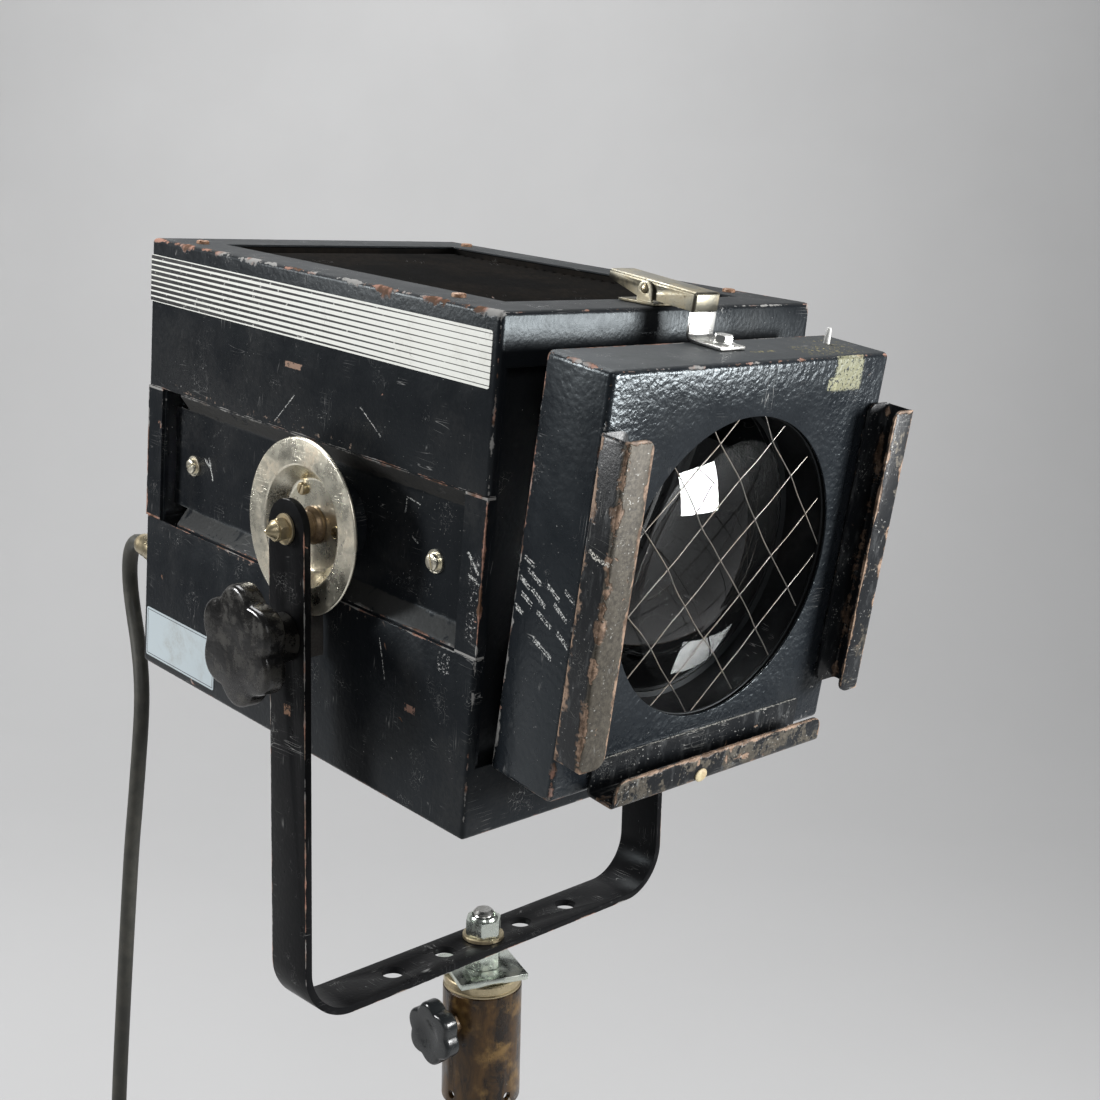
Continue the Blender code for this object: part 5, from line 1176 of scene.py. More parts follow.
def makeBarePlate():
    f = plateFacts
    material, shader, vector = startMaterial("barePlate", bodyPlace)
    y, z = splitVector(vector)[1:]
    edgeY = f["halfLength"] - abs(y - (f["from"] + f["halfLength"]))
    edgeZ = f["halfHeight"] - abs(z - (f["low"] + f["halfHeight"]))
    border = calc("LESS_THAN", abs(least(edgeY, edgeZ) - f["borderInset"]), f["borderHalf"])
    grime = useGroup(blotches, vector, Scale=45.0, Cover=0.4)
    colour = mixColour(border, mixColour(grime * 0.45, f["face"], f["grime"]), f["ink"])
    dressed(shader, colour, remap(grime, 0.0, 1.0, 0.4, 0.65, soft=False))
    finishFoil("barePlate", f, material)


makeStripedBand()
makeBarePlate()
print("bands made")

# tilt dish, bush and cap nuts
pivotSpot = (0, 0, pivotHeight)
dishFacts = {
    "radius": 0.0448, "well": 0.0312, "floor": 0.0246, "face": 0.1271, "floorAt": 0.1180, "sheet": 0.0020,
    "bore": 0.0033, "steps": 128, "screwCircle": 0.0195, "screwAngles": (62, 182, 302),
}


def makeDish():
    f = dishFacts
    well, floor, face, floorAt = f["well"], f["floor"], f["face"], f["floorAt"]
    back, under = floorAt - f["sheet"], face - f["sheet"]
    profile = arcPoints(f["radius"] - 0.0010, face - 0.0010, 0.0010, 90, -90, 8)
    profile += [(well + 0.0016, under), (well + 0.0006, under - 0.0008), (floor + 0.0012, back + 0.0008)]
    profile += [(floor + 0.0002, back), (f["bore"], back), (f["bore"], floorAt)]
    profile += arcPoints(floor - 0.0022, floorAt + 0.0024, 0.0024, 270, 345, 5)
    profile += arcPoints(well + 0.0006, face - 0.0016, 0.0016, 165, 90, 5)
    bm = spunMesh(profile, f["steps"], pivotSpot, toLeft)
    finishPiece("tiltDish", bm, dishNickel, "housing", upright, 40, ("tilt_dish",))
    heads = []
    for angle in [math.radians(a) for a in f["screwAngles"]]:
        y, z = f["screwCircle"] * math.cos(angle), f["screwCircle"] * math.sin(angle)
        heads.append(slottedHead(dishScrew, angle, (-floorAt, y, pivotHeight + z), toLeft))
    finishScrews("dishScrews", heads, oldBrass, upright)


bushFacts = {
    "radius": 0.0085, "flange": 0.0097, "bore": 0.0033, "inner": 0.1183, "outer": 0.1310, "groove": 0.0007,
}


def makeBush():
    f = bushFacts
    radius, inner, outer, grooved = f["radius"], f["inner"], f["outer"], f["radius"] - f["groove"]
    profile = [(radius - 0.0008, outer), (radius, outer - 0.0008), (radius, inner + 0.0062)]
    profile += [(grooved, inner + 0.0056), (grooved, inner + 0.0042), (radius, inner + 0.0036)]
    profile += [(radius + 0.0003, inner + 0.0026), (f["flange"], inner + 0.0018), (f["flange"], inner)]
    bm = spunMesh(profile + [(f["bore"], inner), (f["bore"], outer)], 64, pivotSpot, toLeft)
    finishPiece("pivotBush", bm, bushBronze, "housing", hides=("pivot_bush",))


acornFacts = {
    "base": 0.1356, "washerRadius": 0.0078, "washer": 0.0013, "bore": 0.0033,
    "across": 0.0106, "hex": 0.0050, "dome": 0.0058,
}


def makeAcornNut(name, turn, sign, node):
    f = acornFacts
    base, washer, dome, bore = f["base"], f["washerRadius"], f["dome"], f["bore"]
    seat = base + f["washer"]
    profile = [(washer - 0.0002, seat), (washer, seat - 0.0002), (washer, base), (bore, base), (bore, seat)]
    bm = spunMesh(profile, 48, pivotSpot, turn)
    hexTurn = turn @ Matrix.Rotation(0.35, 4, "Z")
    addHex(bm, f["across"], f["hex"], Vector((sign * seat, 0, pivotHeight)), hexTurn, 0.0009)
    start, wide = seat + f["hex"], f["across"] * 0.44
    profile = [(0, start + dome), (0.0006, start + dome - 0.0001), (0.0015, start + dome - 0.0009)]
    profile += [(wide * 0.62, start + dome * 0.62), (wide * 0.86, start + dome * 0.36)]
    profile += [(wide * 0.97, start + 0.0012), (wide, start + 0.0008), (wide + 0.0004, start + 0.0007)]
    profile += [(wide + 0.0004, start - 0.0008), (0, start - 0.0008)]
    addSpun(bm, profile, 48, pivotSpot, turn)
    finishPiece(name, bm, oldBrass, "housing", hides=(node,))


makeDish()
makeBush()
makeAcornNut("acornNutLeft", toLeft, -1, "acorn_nut_left")
makeAcornNut("acornNutRight", toRight, 1, "acorn_nut_right")
print("tilt dish made")

# yoke strap
yokeFacts = {
    "reach": 0.1353, "thick": 0.004, "width": 0.030, "bend": 0.028, "barBottom": 0.094,
    "holes": (-0.0668, -0.0294, 0.0294, 0.0668), "holeRadius": 0.0065,
    "pivotBore": 0.0033, "knobBore": 0.0043, "knobHeight": 0.3005, "standBore": 0.0063,
}


def makeYoke():
    f = yokeFacts
    bend, half = f["bend"], f["width"] / 2
    middle, bar = f["reach"] - f["thick"] / 2, f["barBottom"] + f["thick"] / 2
    top = pivotHeight + f["width"]
    path = [(-middle, top)] + arcPoints(-middle + bend, bar + bend, bend, 180, 270, 24)
    path += arcPoints(middle - bend, bar + bend, bend, 270, 360, 24) + [(middle, top)]
    outline = arcPoints(0, pivotHeight, half, 0, 180, 40) + [(-half, 0.05), (half, 0.05)]
    cuts = [
        roundMesh(f["pivotBore"], 0.4, (-0.2, 0, pivotHeight), toRight),
        roundMesh(f["knobBore"], 0.03, (-0.12, 0, f["knobHeight"]), toLeft),
        roundMesh(f["standBore"], 0.03, (0, 0, 0.08)),
    ]
    cuts += [roundMesh(f["holeRadius"], 0.03, (x, 0, 0.08)) for x in f["holes"]]
    sides = plateMesh(outline, 2.4 * f["reach"], sideways)
    bm = shaped(
        stripMesh(path, f["width"] + 0.002), wall=f["thick"], offset=0.0, keeps=[sides], cuts=cuts,
        bevel=0.0007, bevelAngle=55, bevelSteps=3)
    finishPiece("yokeStrap", bm, yokeEnamel, "yoke", upright, 30, ("yoke",))


makeYoke()
print("yoke made")

# lobed knobs
tiltKnobFacts = {
    "radius": 0.0306, "lobes": 6, "depth": 0.0048, "thick": 0.0125, "from": 0.1357, "hub": 0.0125,
    "hubLength": 0.0188, "round": 0.0030, "dip": 0.0006, "height": yokeFacts["knobHeight"], "bore": 0.0044,
}
starKnobFacts = {
    "radius": 0.0184, "lobes": 6, "depth": 0.0028, "thick": 0.0108, "from": 0.0296, "hub": 0.0085,
    "hubLength": 0.0019, "round": 0.0026, "dip": 0.0026, "height": 0.0515, "bore": 0.0044,
}


def makeKnob(name, f, material, body, node, turn=0.0):
    rim, bend, hub, foot, dip, bore = f["radius"], f["round"], f["hub"], f["from"], f["dip"], f["bore"]
    back = foot + f["hubLength"]
    front = back + f["thick"]
    profile = [(0, front - dip), (rim * 0.25, front - dip * 0.85), (rim * 0.45, front - dip * 0.4)]
    profile.append((rim * 0.62, front - 0.0004))
    profile += arcPoints(rim - bend, front - 0.0008 - bend, bend, 90, 0, 8)
    profile += arcPoints(rim - bend * 0.8, back + bend * 0.8, bend * 0.8, 0, -90, 6)
    profile += [(hub + 0.0012, back), (hub + 0.0003, back - 0.0004), (hub, back - 0.0012)]
    profile += [(hub, foot + 0.0008), (hub - 0.0008, foot), (bore, foot)]
    profile += [(bore, back + 0.002), (0, back + 0.002)]
    bm = spunMesh(profile, f["lobes"] * 18)
    for vert in bm.verts:  # hollows between the lobes
        reach = math.hypot(vert.co.x, vert.co.y)
        if reach > hub + 0.0014:
            swing = (1 + math.cos(f["lobes"] * (math.atan2(vert.co.y, vert.co.x) - turn))) / 2
            depth = f["depth"] * (1 - swing ** 0.6) * min(1.0, (reach - hub) / (rim - hub) * 1.15)
            vert.co.x *= 1 - depth / reach
            vert.co.y *= 1 - depth / reach
    finishPiece(name, bm, material, body, Matrix.Translation((0, 0, f["height"])) @ toLeft, 45, (node,))


makeKnob("tiltKnob", tiltKnobFacts, bakelite, "tilt_knob", "tilt_knob", 0.02)
makeKnob("socketKnob", starKnobFacts, starPlastic, "socket_knob", "socket_knob", 0.157)
print("knobs made")

# stand socket and the bolted stack above it
socketFacts = {
    "length": 0.070, "radius": 0.023, "wall": 0.003, "clampHeight": starKnobFacts["height"],
    "bossAcross": 0.013, "bossReach": 0.0293, "clampBore": 0.0043, "pinBore": 0.0025, "pinHeight": 0.007,
}
lacquerLook = {
    "dark": (0.007, 0.0035, 0.0015), "brown": (0.075, 0.038, 0.010), "amber": (0.17, 0.10, 0.032),
    "metal": (0.34, 0.31, 0.26), "pit": (0.02, 0.012, 0.008), "coat": 0.06, "runDepth": 0.0004,
}


def makeSocketLacquer():
    look = lacquerLook
    material, shader, vector = startMaterial("socketLacquer")
    runs = noiseOf(stretched(vector, (1, 1, 0.45)), 95.0, 6.0, 0.68, 0.6)
    clouds = noiseOf(vector, 55.0, 4.0, 0.6)
    colour = mixColour(remap(runs, 0.36, 0.66), look["dark"], look["brown"])
    colour = mixColour(remap(clouds, 0.52, 0.70), colour, look["amber"])
    bare = useGroup(paintChips, vector, Scale=150.0, Amount=0.42)
    colour = mixColour(bare, colour, look["metal"])
    pits = useGroup(blotches, vector, Scale=120.0, Cover=0.3)
    dressed(shader, mixColour(pits * 0.7, colour, look["pit"]), remap(runs, 0.3, 0.7, 0.22, 0.45))
    feed(shader.inputs["Metallic"], remap(bare, 0.0, 1.0, 0.25, 0.8))
    shader.inputs["Coat Weight"].default_value = look["coat"]
    addBump(shader, runs, look["runDepth"])
    return material


def makeSocket():
    f = socketFacts
    radius, wall, length, height = f["radius"], f["wall"], f["length"], f["clampHeight"]
    inner = radius - wall
    profile = [(radius - 0.0006, length), (radius, length - 0.0006), (radius, 0.0009)]
    profile += arcPoints(radius - 0.0009, 0.0009, 0.0009, 0, -90, 4)[1:] + [(inner, 0.0), (inner, length)]
    bossFrom = radius - wall / 2
    boss = bmesh.new()
    addHex(boss, f["bossAcross"], f["bossReach"] - bossFrom, (-bossFrom, 0, height), toLeft, 0.0008)
    cuts = [
        roundMesh(f["clampBore"], radius, (-inner / 2, 0, height), toLeft),
        roundMesh(f["pinBore"], 0.06, (-0.03, 0, f["pinHeight"]), toRight),
        roundMesh(f["pinBore"], 0.06, (0, -0.03, f["pinHeight"]), toBack),
    ]
    bm = shaped(spunMesh(profile, 96), joins=[boss], cuts=cuts, bevel=0.0003, bevelAngle=50)
    finishPiece("standSocket", bm, makeSocketLacquer(), "stand_mount", upright, 35, ("stand_socket",))


stackFacts = {
    "bore": 0.0063, "plateHalf": 0.0205, "plateTurn": -21.3, "hexTurn": 12, "nutAcross": 0.019,
    "boltAcross": 0.018, "threadRadius": 0.0060, "threadRoot": 0.0054, "threadPitch": 0.00175,
}


def finishStack(name, bm, material, node):
    finishPiece(name, bm, material, "stand_mount", hides=(node,))


def makeStack():
    f = stackFacts
    bore, side = f["bore"], f["plateHalf"]
    rim, neck = 0.0227, 0.0219
    profile = [(0.0221, 0.0770), (rim, 0.0764), (rim, 0.0728), (neck, 0.0722), (neck, 0.0716)]
    profile += [(rim, 0.0710), (rim, 0.0703), (bore, 0.0703), (bore, 0.0770)]
    finishStack("socketCap", spunMesh(profile, 96), oldBrass, "socket_cap")
    plate = blockMesh((-side, -side, 0.0773), (side, side, 0.0810))
    plateTurn = Matrix.Rotation(math.radians(f["plateTurn"]), 3, "Z")
    bmesh.ops.rotate(plate, cent=(0, 0, 0), matrix=plateTurn, verts=plate.verts)
    plate = shaped(plate, cuts=[roundMesh(bore, 0.02, (0, 0, 0.070))], bevel=0.0005)
    finishStack("socketPlate", plate, zincPlate, "socket_top_plate")
    hexTurn = Matrix.Rotation(math.radians(f["hexTurn"]), 4, "Z")
    bm = bmesh.new()
    addHex(bm, f["nutAcross"], 0.0102, (0, 0, 0.0813), hexTurn, 0.0014)
    profile = [(0.0118, 0.0937), (0.0120, 0.0935), (0.0120, 0.0915), (bore, 0.0915), (bore, 0.0937)]
    addSpun(bm, profile, 64)
    finishStack("lowerNut", bm, zincPlate, "lower_nut")
    profile = [(0.0117, 0.1005), (0.0120, 0.1002), (0.0120, 0.0985), (0.0118, 0.0983)]
    profile += [(bore, 0.0983), (bore, 0.1005)]
    finishStack("yokeWasher", spunMesh(profile, 64), oldBrass, "yoke_washer")
    bm = bmesh.new()
    addHex(bm, f["nutAcross"], 0.0092, (0, 0, 0.1008), hexTurn, 0.0014)
    collar = [(0.0086, 0.1098), (0.0084, 0.1108)] + arcPoints(0.0068, 0.1112, 0.0011, 20, 90, 4)
    addSpun(bm, collar + [(0.0066, 0.1118), (0.0066, 0.1098)], 64)
    finishStack("yokeNut", bm, zincPlate, "yoke_nut")
    profile = [(0, 0.1151), (0.0046, 0.1151), (0.0059, 0.1138)]
    z = 0.1132
    while z > 0.0700:  # thread ridges
        profile += [(f["threadRadius"], z), (f["threadRoot"], z - 0.0008)]
        z -= f["threadPitch"]
    bm = spunMesh(profile + [(f["threadRadius"], 0.0690), (0, 0.0690)], 48)
    addHex(bm, f["boltAcross"], 0.0074, (0, 0, 0.0626), upright, 0.0012)
    finishStack("standBolt", bm, plainSteel, "stand_bolt")


makeSocket()
makeStack()
print("stand socket made")

# latch: base with ears, rivet pin and lever
latchFacts = {
    "earInner": 0.0094, "sheet": 0.0013, "pinBore": 0.0018, "pinReach": 0.0119,
    "leverTop": 0.0046, "leverFront": 0.0309, "leverTail": 0.0261, "leverHalf": 0.009, "leverWall": 0.0012,
}


def makeLatchBase():
    f = latchFacts
    outline = [(-0.005, -0.0068), (0.005, -0.0068)] + arcPoints(0, -0.0011, 0.005, 0, 180, 16)
    ears = []
    for side in (-1, 1):
        spot = leverInBody + Vector((side * (f["earInner"] + f["sheet"] / 2), 0, 0))
        ears.append(plateMesh(outline, f["sheet"], Matrix.Translation(spot) @ sideways))
    bore = roundMesh(f["pinBore"], 0.04, leverInBody - Vector((0.02, 0, 0)), toRight, 24)
    base = blockMesh((-0.0123, 0.0008, 0.2503), (0.0123, 0.0243, 0.2516))
    bm = shaped(base, joins=ears, cuts=[bore], bevel=0.0003)
    finishPiece("latchBase", bm, latchNickel, "housing", bodyPlace, 35, ("latch_base",))


def makeLatchPin():
    f = latchFacts
    reach = f["pinReach"]
    profile = [(0, reach), (0.0012, reach - 0.0001), (0.0021, reach - 0.0006), (0.0023, reach - 0.0011)]
    profile += [(0.0015, reach - 0.0011), (0.0015, -0.001), (0, -0.001)]
    bm = bmesh.new()
    for turn in (toLeft, toRight):
        addSpun(bm, profile, 24, leverInBody, turn)
    finishPiece("latchPin", bm, oldBrass, "housing", bodyPlace, hides=("latch_pin",))


def makeLatchLever():
    f = latchFacts
    top, bottom, tail, half = f["leverTop"], -f["leverTop"], f["leverTail"], f["leverHalf"]
    low = bottom - 0.004
    shell = shellMesh((-half, -f["leverFront"], bottom), (half, tail, top), [(0, 0, -1), (0, 1, 0)], 0.0016)
    slope = [(tail * 0.25, low), (tail * 0.25, bottom), (tail + 0.002, top - 0.004), (tail + 0.002, low)]
    cuts = [plateMesh(slope, 0.04, sideways), roundMesh(f["pinBore"], 0.04, (-0.02, 0, 0), toRight, 24)]
    bm = shaped(shell, wall=f["leverWall"], cuts=cuts, bevel=0.0003, bevelAngle=50)
    finishPiece("latchLever", bm, latchNickel, "latch_lever", leverPlace, 35, ("latch_lever",))


makeLatchBase()
makeLatchPin()
makeLatchLever()
print("latch made")

# lens box and its fittings, in the box's own frame
boxFacts = {
    "half": 0.1005, "height": 0.2003, "depth": 0.0394, "corner": 0.003, "wall": 0.0015,
    "aperture": 0.075, "apertureHeight": 0.0989,
}
lensCentre = (0, 0, boxFacts["apertureHeight"])


def finishDoor(name, bm, material, place=doorPlace, smoothAngle=35, hides=()):
    return finishPiece(name, bm, material, "lens_door", place, smoothAngle, hides)


def makeLensBox():
    f = boxFacts
    shell = shellMesh((-f["half"], 0, 0), (f["half"], f["depth"], f["height"]), [(0, 1, 0)], f["corner"], 5)
    opening = roundMesh(f["aperture"], 0.02, (0, -0.01, f["apertureHeight"]), toBack, 128)
    bm = shaped(shell, wall=f["wall"], cuts=[opening], bevel=0.0005, bevelAngle=50)
    finishDoor("lensBox", bm, boxEnamel, smoothAngle=30, hides=("lens_box",))


lensFacts = {
    "curve": 0.130, "radius": 0.0760, "edgeFront": 0.0305, "seat": 0.0345, "steps": 24,
    "holderBore": 0.0763, "holderWall": 0.0778, "holderFront": -0.0018, "holderLength": 0.0362,
}


def makeLens():
    f = lensFacts
    curve, radius, seat = f["curve"], f["radius"], f["seat"]
    widest = math.asin(radius / curve)
    crown = -f["edgeFront"] + curve - math.sqrt(curve ** 2 - radius ** 2)
    angles = [widest * i / f["steps"] for i in range(1, f["steps"] + 1)]
    profile = [(0.0, crown)] + [(curve * math.sin(a), crown - curve * (1 - math.cos(a))) for a in angles]
    profile += [(radius, -seat + 0.0004), (radius - 0.0004, -seat), (0.0, -seat)]
    bm = spunMesh(profile, 128, lensCentre, toFront)
    lens = finishDoor("lensDisc", bm, lensGlass, smoothAngle=40, hides=("lens",))
    bore, wall, front = f["holderBore"], f["holderWall"], f["holderFront"]
    stop, back = -f["edgeFront"] + 0.0003, front - f["holderLength"]
    profile = [(wall + 0.009, front), (wall + 0.009, front - 0.0015), (wall + 0.001, front - 0.0015)]
    profile += [(wall, front - 0.0025), (wall, back), (bore, back), (bore, stop)]
    profile += [(bore - 0.002, stop + 0.0013), (bore, stop + 0.003), (bore, front)]
    bm = spunMesh(profile, 96, lensCentre, toFront)
    finishDoor("lensHolder", bm, holderBlack, hides=("lens_holder",))
    ring = arcPoints(0.0748, -seat - 0.0015, 0.0012, 60, -300, 12)[:-1]
    finishDoor("lensRing", spunMesh(ring, 96, lensCentre, toFront), guardSteel, hides=("lens_retainer",))


guardFacts = {
    "radius": 0.0755, "wire": 0.00030, "setBack": 0.0035, "seed": 5, "wander": 0.0011, "over": 0.0007,
    "first": (0.0069, 0.1211), "alongRow": (-0.02115, -0.01911), "alongColumn": (0.01843, -0.02056),
    "knots": range(-2, 9), "ringWire": 0.0009,
}


def makeGuard():
    # two sets of thin wires, a little bent, crossing over each other
    f = guardFacts
    dice = random.Random(f["seed"])
    knots = {}
    for row in f["knots"]:
        for column in f["knots"]:
            x = f["first"][0] + column * f["alongRow"][0] + row * f["alongColumn"][0]
            z = f["first"][1] + column * f["alongRow"][1] + row * f["alongColumn"][1]
            across = x + dice.uniform(-1, 1) * f["wander"]
            knots[(row, column)] = Vector((across, 0.0, z + dice.uniform(-1, 1) * f["wander"]))
    routes = [[knots[(row, column)] for column in f["knots"]] for row in f["knots"]]
    routes += [[knots[(row, column)] for row in f["knots"]] for column in f["knots"]]
    bm = bmesh.new()
    for number, route in enumerate(routes):
        lift = Vector((0, f["over"] if number < len(f["knots"]) else 0.0, 0))
        bent = []
        for a, b in zip(route, route[1:]):
            sway = Vector((dice.uniform(-1, 1), 0, dice.uniform(-1, 1))) * f["wander"] * 0.5
            bent += [a, a.lerp(b, 0.5) + sway]
        path = [p + lift for p in smoothRoute(bent, 4) if math.hypot(p.x, p.z) < f["radius"]]
        for a, b in zip(path, path[1:]):
            step = b - a
            if 1e-5 < step.length < 0.02:
                turn = step.to_track_quat("Z", "Y").to_matrix().to_4x4()
                addRound(bm, f["wire"], step.length + 0.0002, a, turn, 8)
    frontFace = doorPlace @ Matrix.Translation((0, f["setBack"], boxFacts["apertureHeight"]))
    finishDoor("wireGuard", bm, guardSteel, frontFace, 60, ("wire_guard",))
    ring = arcPoints(f["radius"] - 0.0002, 0, f["ringWire"], 0, 360, 10)[:-1]
    finishDoor("guardRing", spunMesh(ring, 128, turn=toFront), holderBlack, frontFace, 60)


runnerFacts = {
    "reach": 0.1050, "lip": 0.0168, "sheet": 0.0015, "standOff": 0.0030, "depth": 0.0180, "bend": 0.0022,
    "from": 0.0240, "to": 0.1750, "padRadius": 0.004, "padAcross": 0.0925, "padHeights": (0.040, 0.159),
}


def makeRunner(side, name, paint, node):
    f = runnerFacts
    half, low, high = f["sheet"] / 2, f["from"], f["to"]
    back, front = f["standOff"] - half, f["depth"] - half
    outer, inner = f["reach"] - half, f["reach"] - f["lip"]
    corners = [(side * inner, back), (side * outer, back), (side * outer, front), (side * inner, front)]
    strip = stripMesh(bentPath(corners, f["bend"]), high - low)
    middle = Matrix.Translation((0, 0, (high + low) / 2))
    bmesh.ops.transform(strip, matrix=middle @ toFront, verts=strip.verts)
    outline = arcPoints(outer - 0.004, high - 0.004, 0.005, 0, 90, 6)
    outline += arcPoints(inner + 0.005, high - 0.005, 0.005, 90, 180, 6)
    outline += arcPoints(inner + 0.006, low + 0.006, 0.006, 180, 270, 6)
    outline += arcPoints(outer - 0.004, low + 0.004, 0.005, 270, 360, 6)
    keep = plateMesh([(side * x, z) for x, z in outline], 0.1, toFront)
    pads = [
        roundMesh(f["padRadius"], back - 0.0003, (side * f["padAcross"], -0.0003, z), toFront, 24)
        for z in f["padHeights"]
    ]
    bm = shaped(strip, wall=f["sheet"], offset=0.0, joins=pads, keeps=[keep], bevel=0.0004, bevelAngle=50)
    finishDoor(name, bm, paint, hides=(node,))


bottomRunnerFacts = {
    "low": -0.0010, "sheet": 0.0015, "reach": 0.0765, "frontLip": 0.0140, "backLip": 0.0172,
    "corner": 0.006, "depth": 0.0180, "back": 0.0003, "bend": 0.0022,
    "gluePlace": (-0.017, 0.0036), "glueSize": (0.0042, 0.0011, 0.0034),
}


def makeBottomRunner():
    f = bottomRunnerFacts
    half, low, reach, corner = f["sheet"] / 2, f["low"], f["reach"], f["corner"]
    back, front = f["back"] + half, f["depth"] - half
    top, backTop = low + f["frontLip"], low + f["backLip"]
    corners = [(back, backTop), (back, low + half), (front, low + half), (front, backTop)]
    strip = stripMesh(bentPath(corners, f["bend"]), 2 * reach)
    bmesh.ops.transform(strip, matrix=acrossTurn, verts=strip.verts)
    outline = arcPoints(reach - corner, top - corner, corner, 0, 90, 8)
    outline += [(-x, z) for x, z in reversed(outline)] + [(-reach, low - 0.002), (reach, low - 0.002)]
    wide, frontLine = reach + 0.001, -f["depth"]
    whole = blockMesh((-wide, frontLine + 0.004, low - 0.001), (wide, 0.002, backTop + 0.001))
    lip = plateMesh(outline, 0.010, Matrix.Translation((0, frontLine, 0)) @ toFront)
    keep = shaped(lip, joins=[whole])
    bm = shaped(strip, wall=f["sheet"], offset=0.0, keeps=[keep], bevel=0.0004, bevelAngle=50)
    finishDoor("bottomRunner", bm, bottomRunnerPaint, hides=("frame_runner_bottom",))


def makeGlueSpot():
    f = bottomRunnerFacts
    bm = bmesh.new()
    bmesh.ops.create_icosphere(bm, subdivisions=4, radius=1.0)
    bmesh.ops.scale(bm, vec=f["glueSize"], verts=bm.verts)
    bmesh.ops.smooth_vert(bm, verts=bm.verts, factor=0.3, use_axis_x=True, use_axis_y=True, use_axis_z=True)
    glue = makePlastic(
        "driedGlue", plastic=(0.55, 0.48, 0.30), scuff=(0.30, 0.20, 0.10), scuffCover=0.6, scuffDepth=0.7,
        roughness=0.5)
    x, z = f["gluePlace"]
    spot = Matrix.Translation((x, -f["depth"] - 0.0003, f["low"] + z))
    finishDoor("glueSpot", bm, glue, doorPlace @ spot, 60)


strapFacts = {
    "thick": 0.0017, "half": 0.009, "length": 0.0215, "bend": 0.0030, "tip": 0.2143,
    "topGap": 0.0003, "backGap": 0.0025, "screwAt": 0.0262, "washer": 0.0060, "bore": 0.0020,
}


def makeStrap():
    f = strapFacts
    thick, bend = f["thick"], f["bend"]
    top, back = boxFacts["height"] + f["topGap"], boxFacts["depth"] + f["backGap"] - thick / 2
    path = [(-(back - f["length"]), top + thick / 2)]
    path += arcPoints(-(back - bend), top + thick / 2 + bend, bend, 270, 180, 8) + [(-back, f["tip"])]
    strip = stripMesh(path, 2 * f["half"])
    bmesh.ops.transform(strip, matrix=acrossTurn, verts=strip.verts)
    bm = shaped(strip, wall=thick, offset=0.0, bevel=0.0004, bevelAngle=50)
    finishDoor("catchStrap", bm, strapSteel, hides=("catch_strap",))
    washer, bore, spot = f["washer"], f["bore"], (0.0, f["screwAt"], top + thick)
    profile = [(washer - 0.0002, 0.0010), (washer, 0.0008), (washer, 0.0), (bore, 0.0), (bore, 0.0010)]
    bm = spunMesh(profile, 40, spot)
    addHex(bm, 0.0080, 0.0034, (spot[0], spot[1], spot[2] + 0.0010), Matrix.Rotation(0.3, 4, "Z"), 0.0007)
    finishDoor("strapScrew", bm, strapSteel)


def makeStub():
    # clear plastic stub at the far corner of the box
    stub = makePlastic("stubPlastic", plastic=(0.62, 0.62, 0.60), scuff=(0.5, 0.5, 0.48), roughness=0.25)
    profile = [(0, 0.0085), (0.0011, 0.0080), (0.0014, 0.0070), (0.0017, 0.0), (0, 0.0)]
    finishDoor("plasticStub", spunMesh(profile, 24, (0.0782, 0.0235, boxFacts["height"])), stub)


makeLensBox()
makeLens()
makeGuard()
makeRunner(-1, "runnerLeft", leftRunnerPaint, "frame_runner_left")
makeRunner(1, "runnerRight", rightRunnerPaint, "frame_runner_right")
makeBottomRunner()
makeGlueSpot()
makeStrap()
makeStub()
print("lens box made")

# cable gland with its nut
glandFacts = {"radius": 0.0080, "bore": 0.00515, "inside": -0.010, "nutAcross": 0.0158, "nut": 0.0058}


def makeGland():
    f = glandFacts
    radius, bore, inside, length = f["radius"], f["bore"], f["inside"], cordFacts["glandLength"]
    across, end, height = -cordFacts["glandAcross"], cordFacts["bodyLength"], cordFacts["glandHeight"]
    profile = [(radius * 0.70, length), (radius * 0.80, length - 0.0015), (radius * 0.88, length - 0.006)]
    profile += [(radius * 0.90, length - 0.011), (radius * 0.98, length - 0.0125), (radius * 0.98, 0.0062)]
    profile += [(radius * 0.75, 0.0058), (radius * 0.75, inside), (bore, inside), (bore, length)]
    bm = spunMesh(profile, 64, (across, end, height), toBack)
    addHex(bm, f["nutAcross"], f["nut"], (across, end + 0.0003, height), toBack, 0.001)
    finishPiece("cableGland", bm, oldBrass, "housing", bodyPlace, 35, ("cable_gland",))


makeGland()

# finishes for the solids that stay as they are
cadFinishes = {
    "corner_post_front_left": housingEnamel, "corner_post_front_right": housingEnamel,
    "corner_post_back_left": housingEnamel, "corner_post_back_right": housingEnamel,
    "dish_boss": housingEnamel, "pivot_boss_right": housingEnamel, "hinge_leaf": housingEnamel,
    "front_panel": panelEnamel, "back_panel": panelEnamel, "louvre_panel": louvreEnamel,
    # the clamp jaw takes dark steel as painted shade, where it sits in shadow behind the yoke arm
    "hinge_door_leaf": boxEnamel, "hinge_pin": darkSteel, "clamp_jaw": darkSteel,
    "focus_rail_left": plainSteel, "focus_rail_right": plainSteel, "lamp_tray": plainSteel,
    "pivot_bolt_left": plainSteel, "pivot_bolt_right": plainSteel,
    "tilt_knob_screw": zincPlate, "socket_knob_screw": zincPlate,
    "lamp_holder": ceramicGlaze, "lamp": lampGlass, "reflector": mirrorMetal, "focus_knob": bakelite,
}
for node, material in cadFinishes.items():
    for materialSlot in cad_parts[node].material_slots:
        materialSlot.material = material
print("kept solids finished")

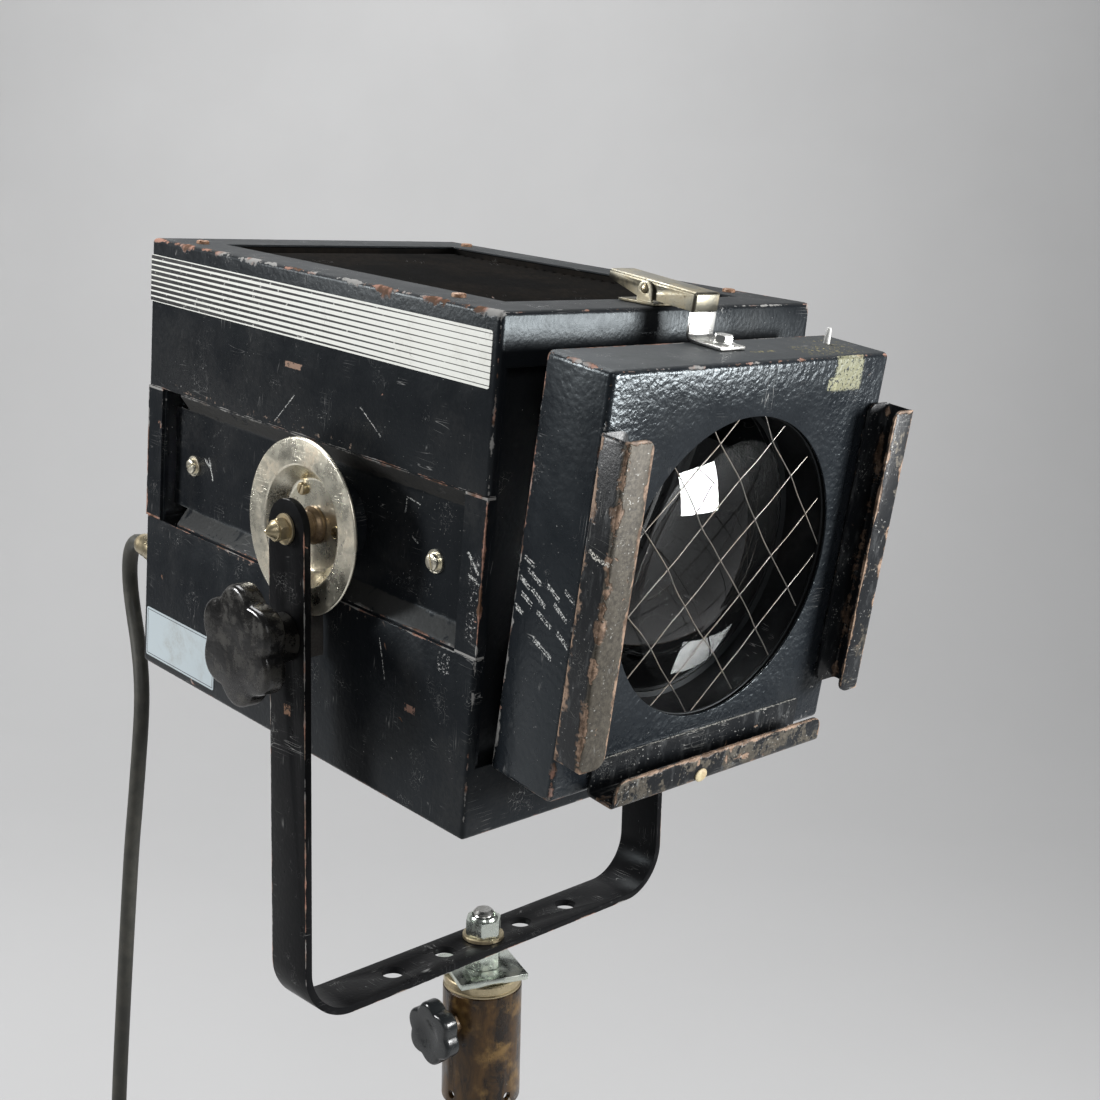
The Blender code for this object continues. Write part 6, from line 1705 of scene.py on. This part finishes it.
# floor, backdrop and lamps
stageFacts = {
    "floorHeight": -0.2825, "near": -3.0, "far": 2.2, "wallHeight": 4.0, "width": 9.0,
    "bend": 1.2, "fade": 1.2,
    "grey": (0.38, 0.38, 0.382), "wallGrey": (0.60, 0.60, 0.60), "cloudGrey": (0.30, 0.30, 0.30),
}


def makeStage():
    f = stageFacts
    away, bend, level = -Vector(cameraView["back"]), f["bend"], f["floorHeight"]
    path = [(f["near"], 0.0)] + arcPoints(f["far"] - bend, bend, bend, 270, 360, 16)
    path.append((f["far"], f["wallHeight"]))
    place = Matrix.Translation((0, 0, level)) @ Matrix.Rotation(math.atan2(away.y, away.x), 4, "Z")
    material, shader, vector = startMaterial("paleFloor")
    cloud = remap(noiseOf(vector, 1.6, 5.0, 0.6), 0.3, 0.7, 0.0, 0.12)
    risen = remap(splitVector(vector)[2], level, level + f["fade"], soft=False)
    tone = mixColour(risen, f["grey"], f["wallGrey"])
    dressed(shader, mixColour(cloud, tone, f["cloudGrey"]), 0.9)
    shader.inputs["Specular IOR Level"].default_value = 0.1
    floor = finishPiece("backdrop", stripMesh(path, f["width"]), material, None, place, 60)


def addLamp(name, place, target, size, power):
    data = bpy.data.lights.new(name, "AREA")
    data.shape = "RECTANGLE"
    data.size, data.size_y = size
    data.energy = power
    lamp = bpy.data.objects.new(name, data)
    lamp.location = place
    lamp.rotation_euler = (Vector(target) - Vector(place)).to_track_quat("-Z", "Y").to_euler()
    scene.collection.objects.link(lamp)


makeStage()
addLamp("frontSoftbox", (0.452, -0.824, 0.408), (0, -0.17, 0.33), (0.335, 0.25), 13)
addLamp("leftSoftbox", (-1.50, 1.30, 1.05), (0, 0, 0.3), (0.45, 0.45), 38)
addLamp("topSoftbox", (0.3, 0.9, 2.2), (0, 0, 0.2), (1.6, 1.2), 64)
addLamp("nearFill", (-1.1, -1.7, 1.3), (0, 0, 0.3), (0.6, 0.6), 8)
world = bpy.data.worlds.new("studio")
world.use_nodes = True
world.node_tree.nodes["Background"].inputs["Color"].default_value = (0.78, 0.80, 0.83, 1)
world.node_tree.nodes["Background"].inputs["Strength"].default_value = 0.14
scene.world = world
scene.view_settings.view_transform = "Standard"
print("stage and lamps set")
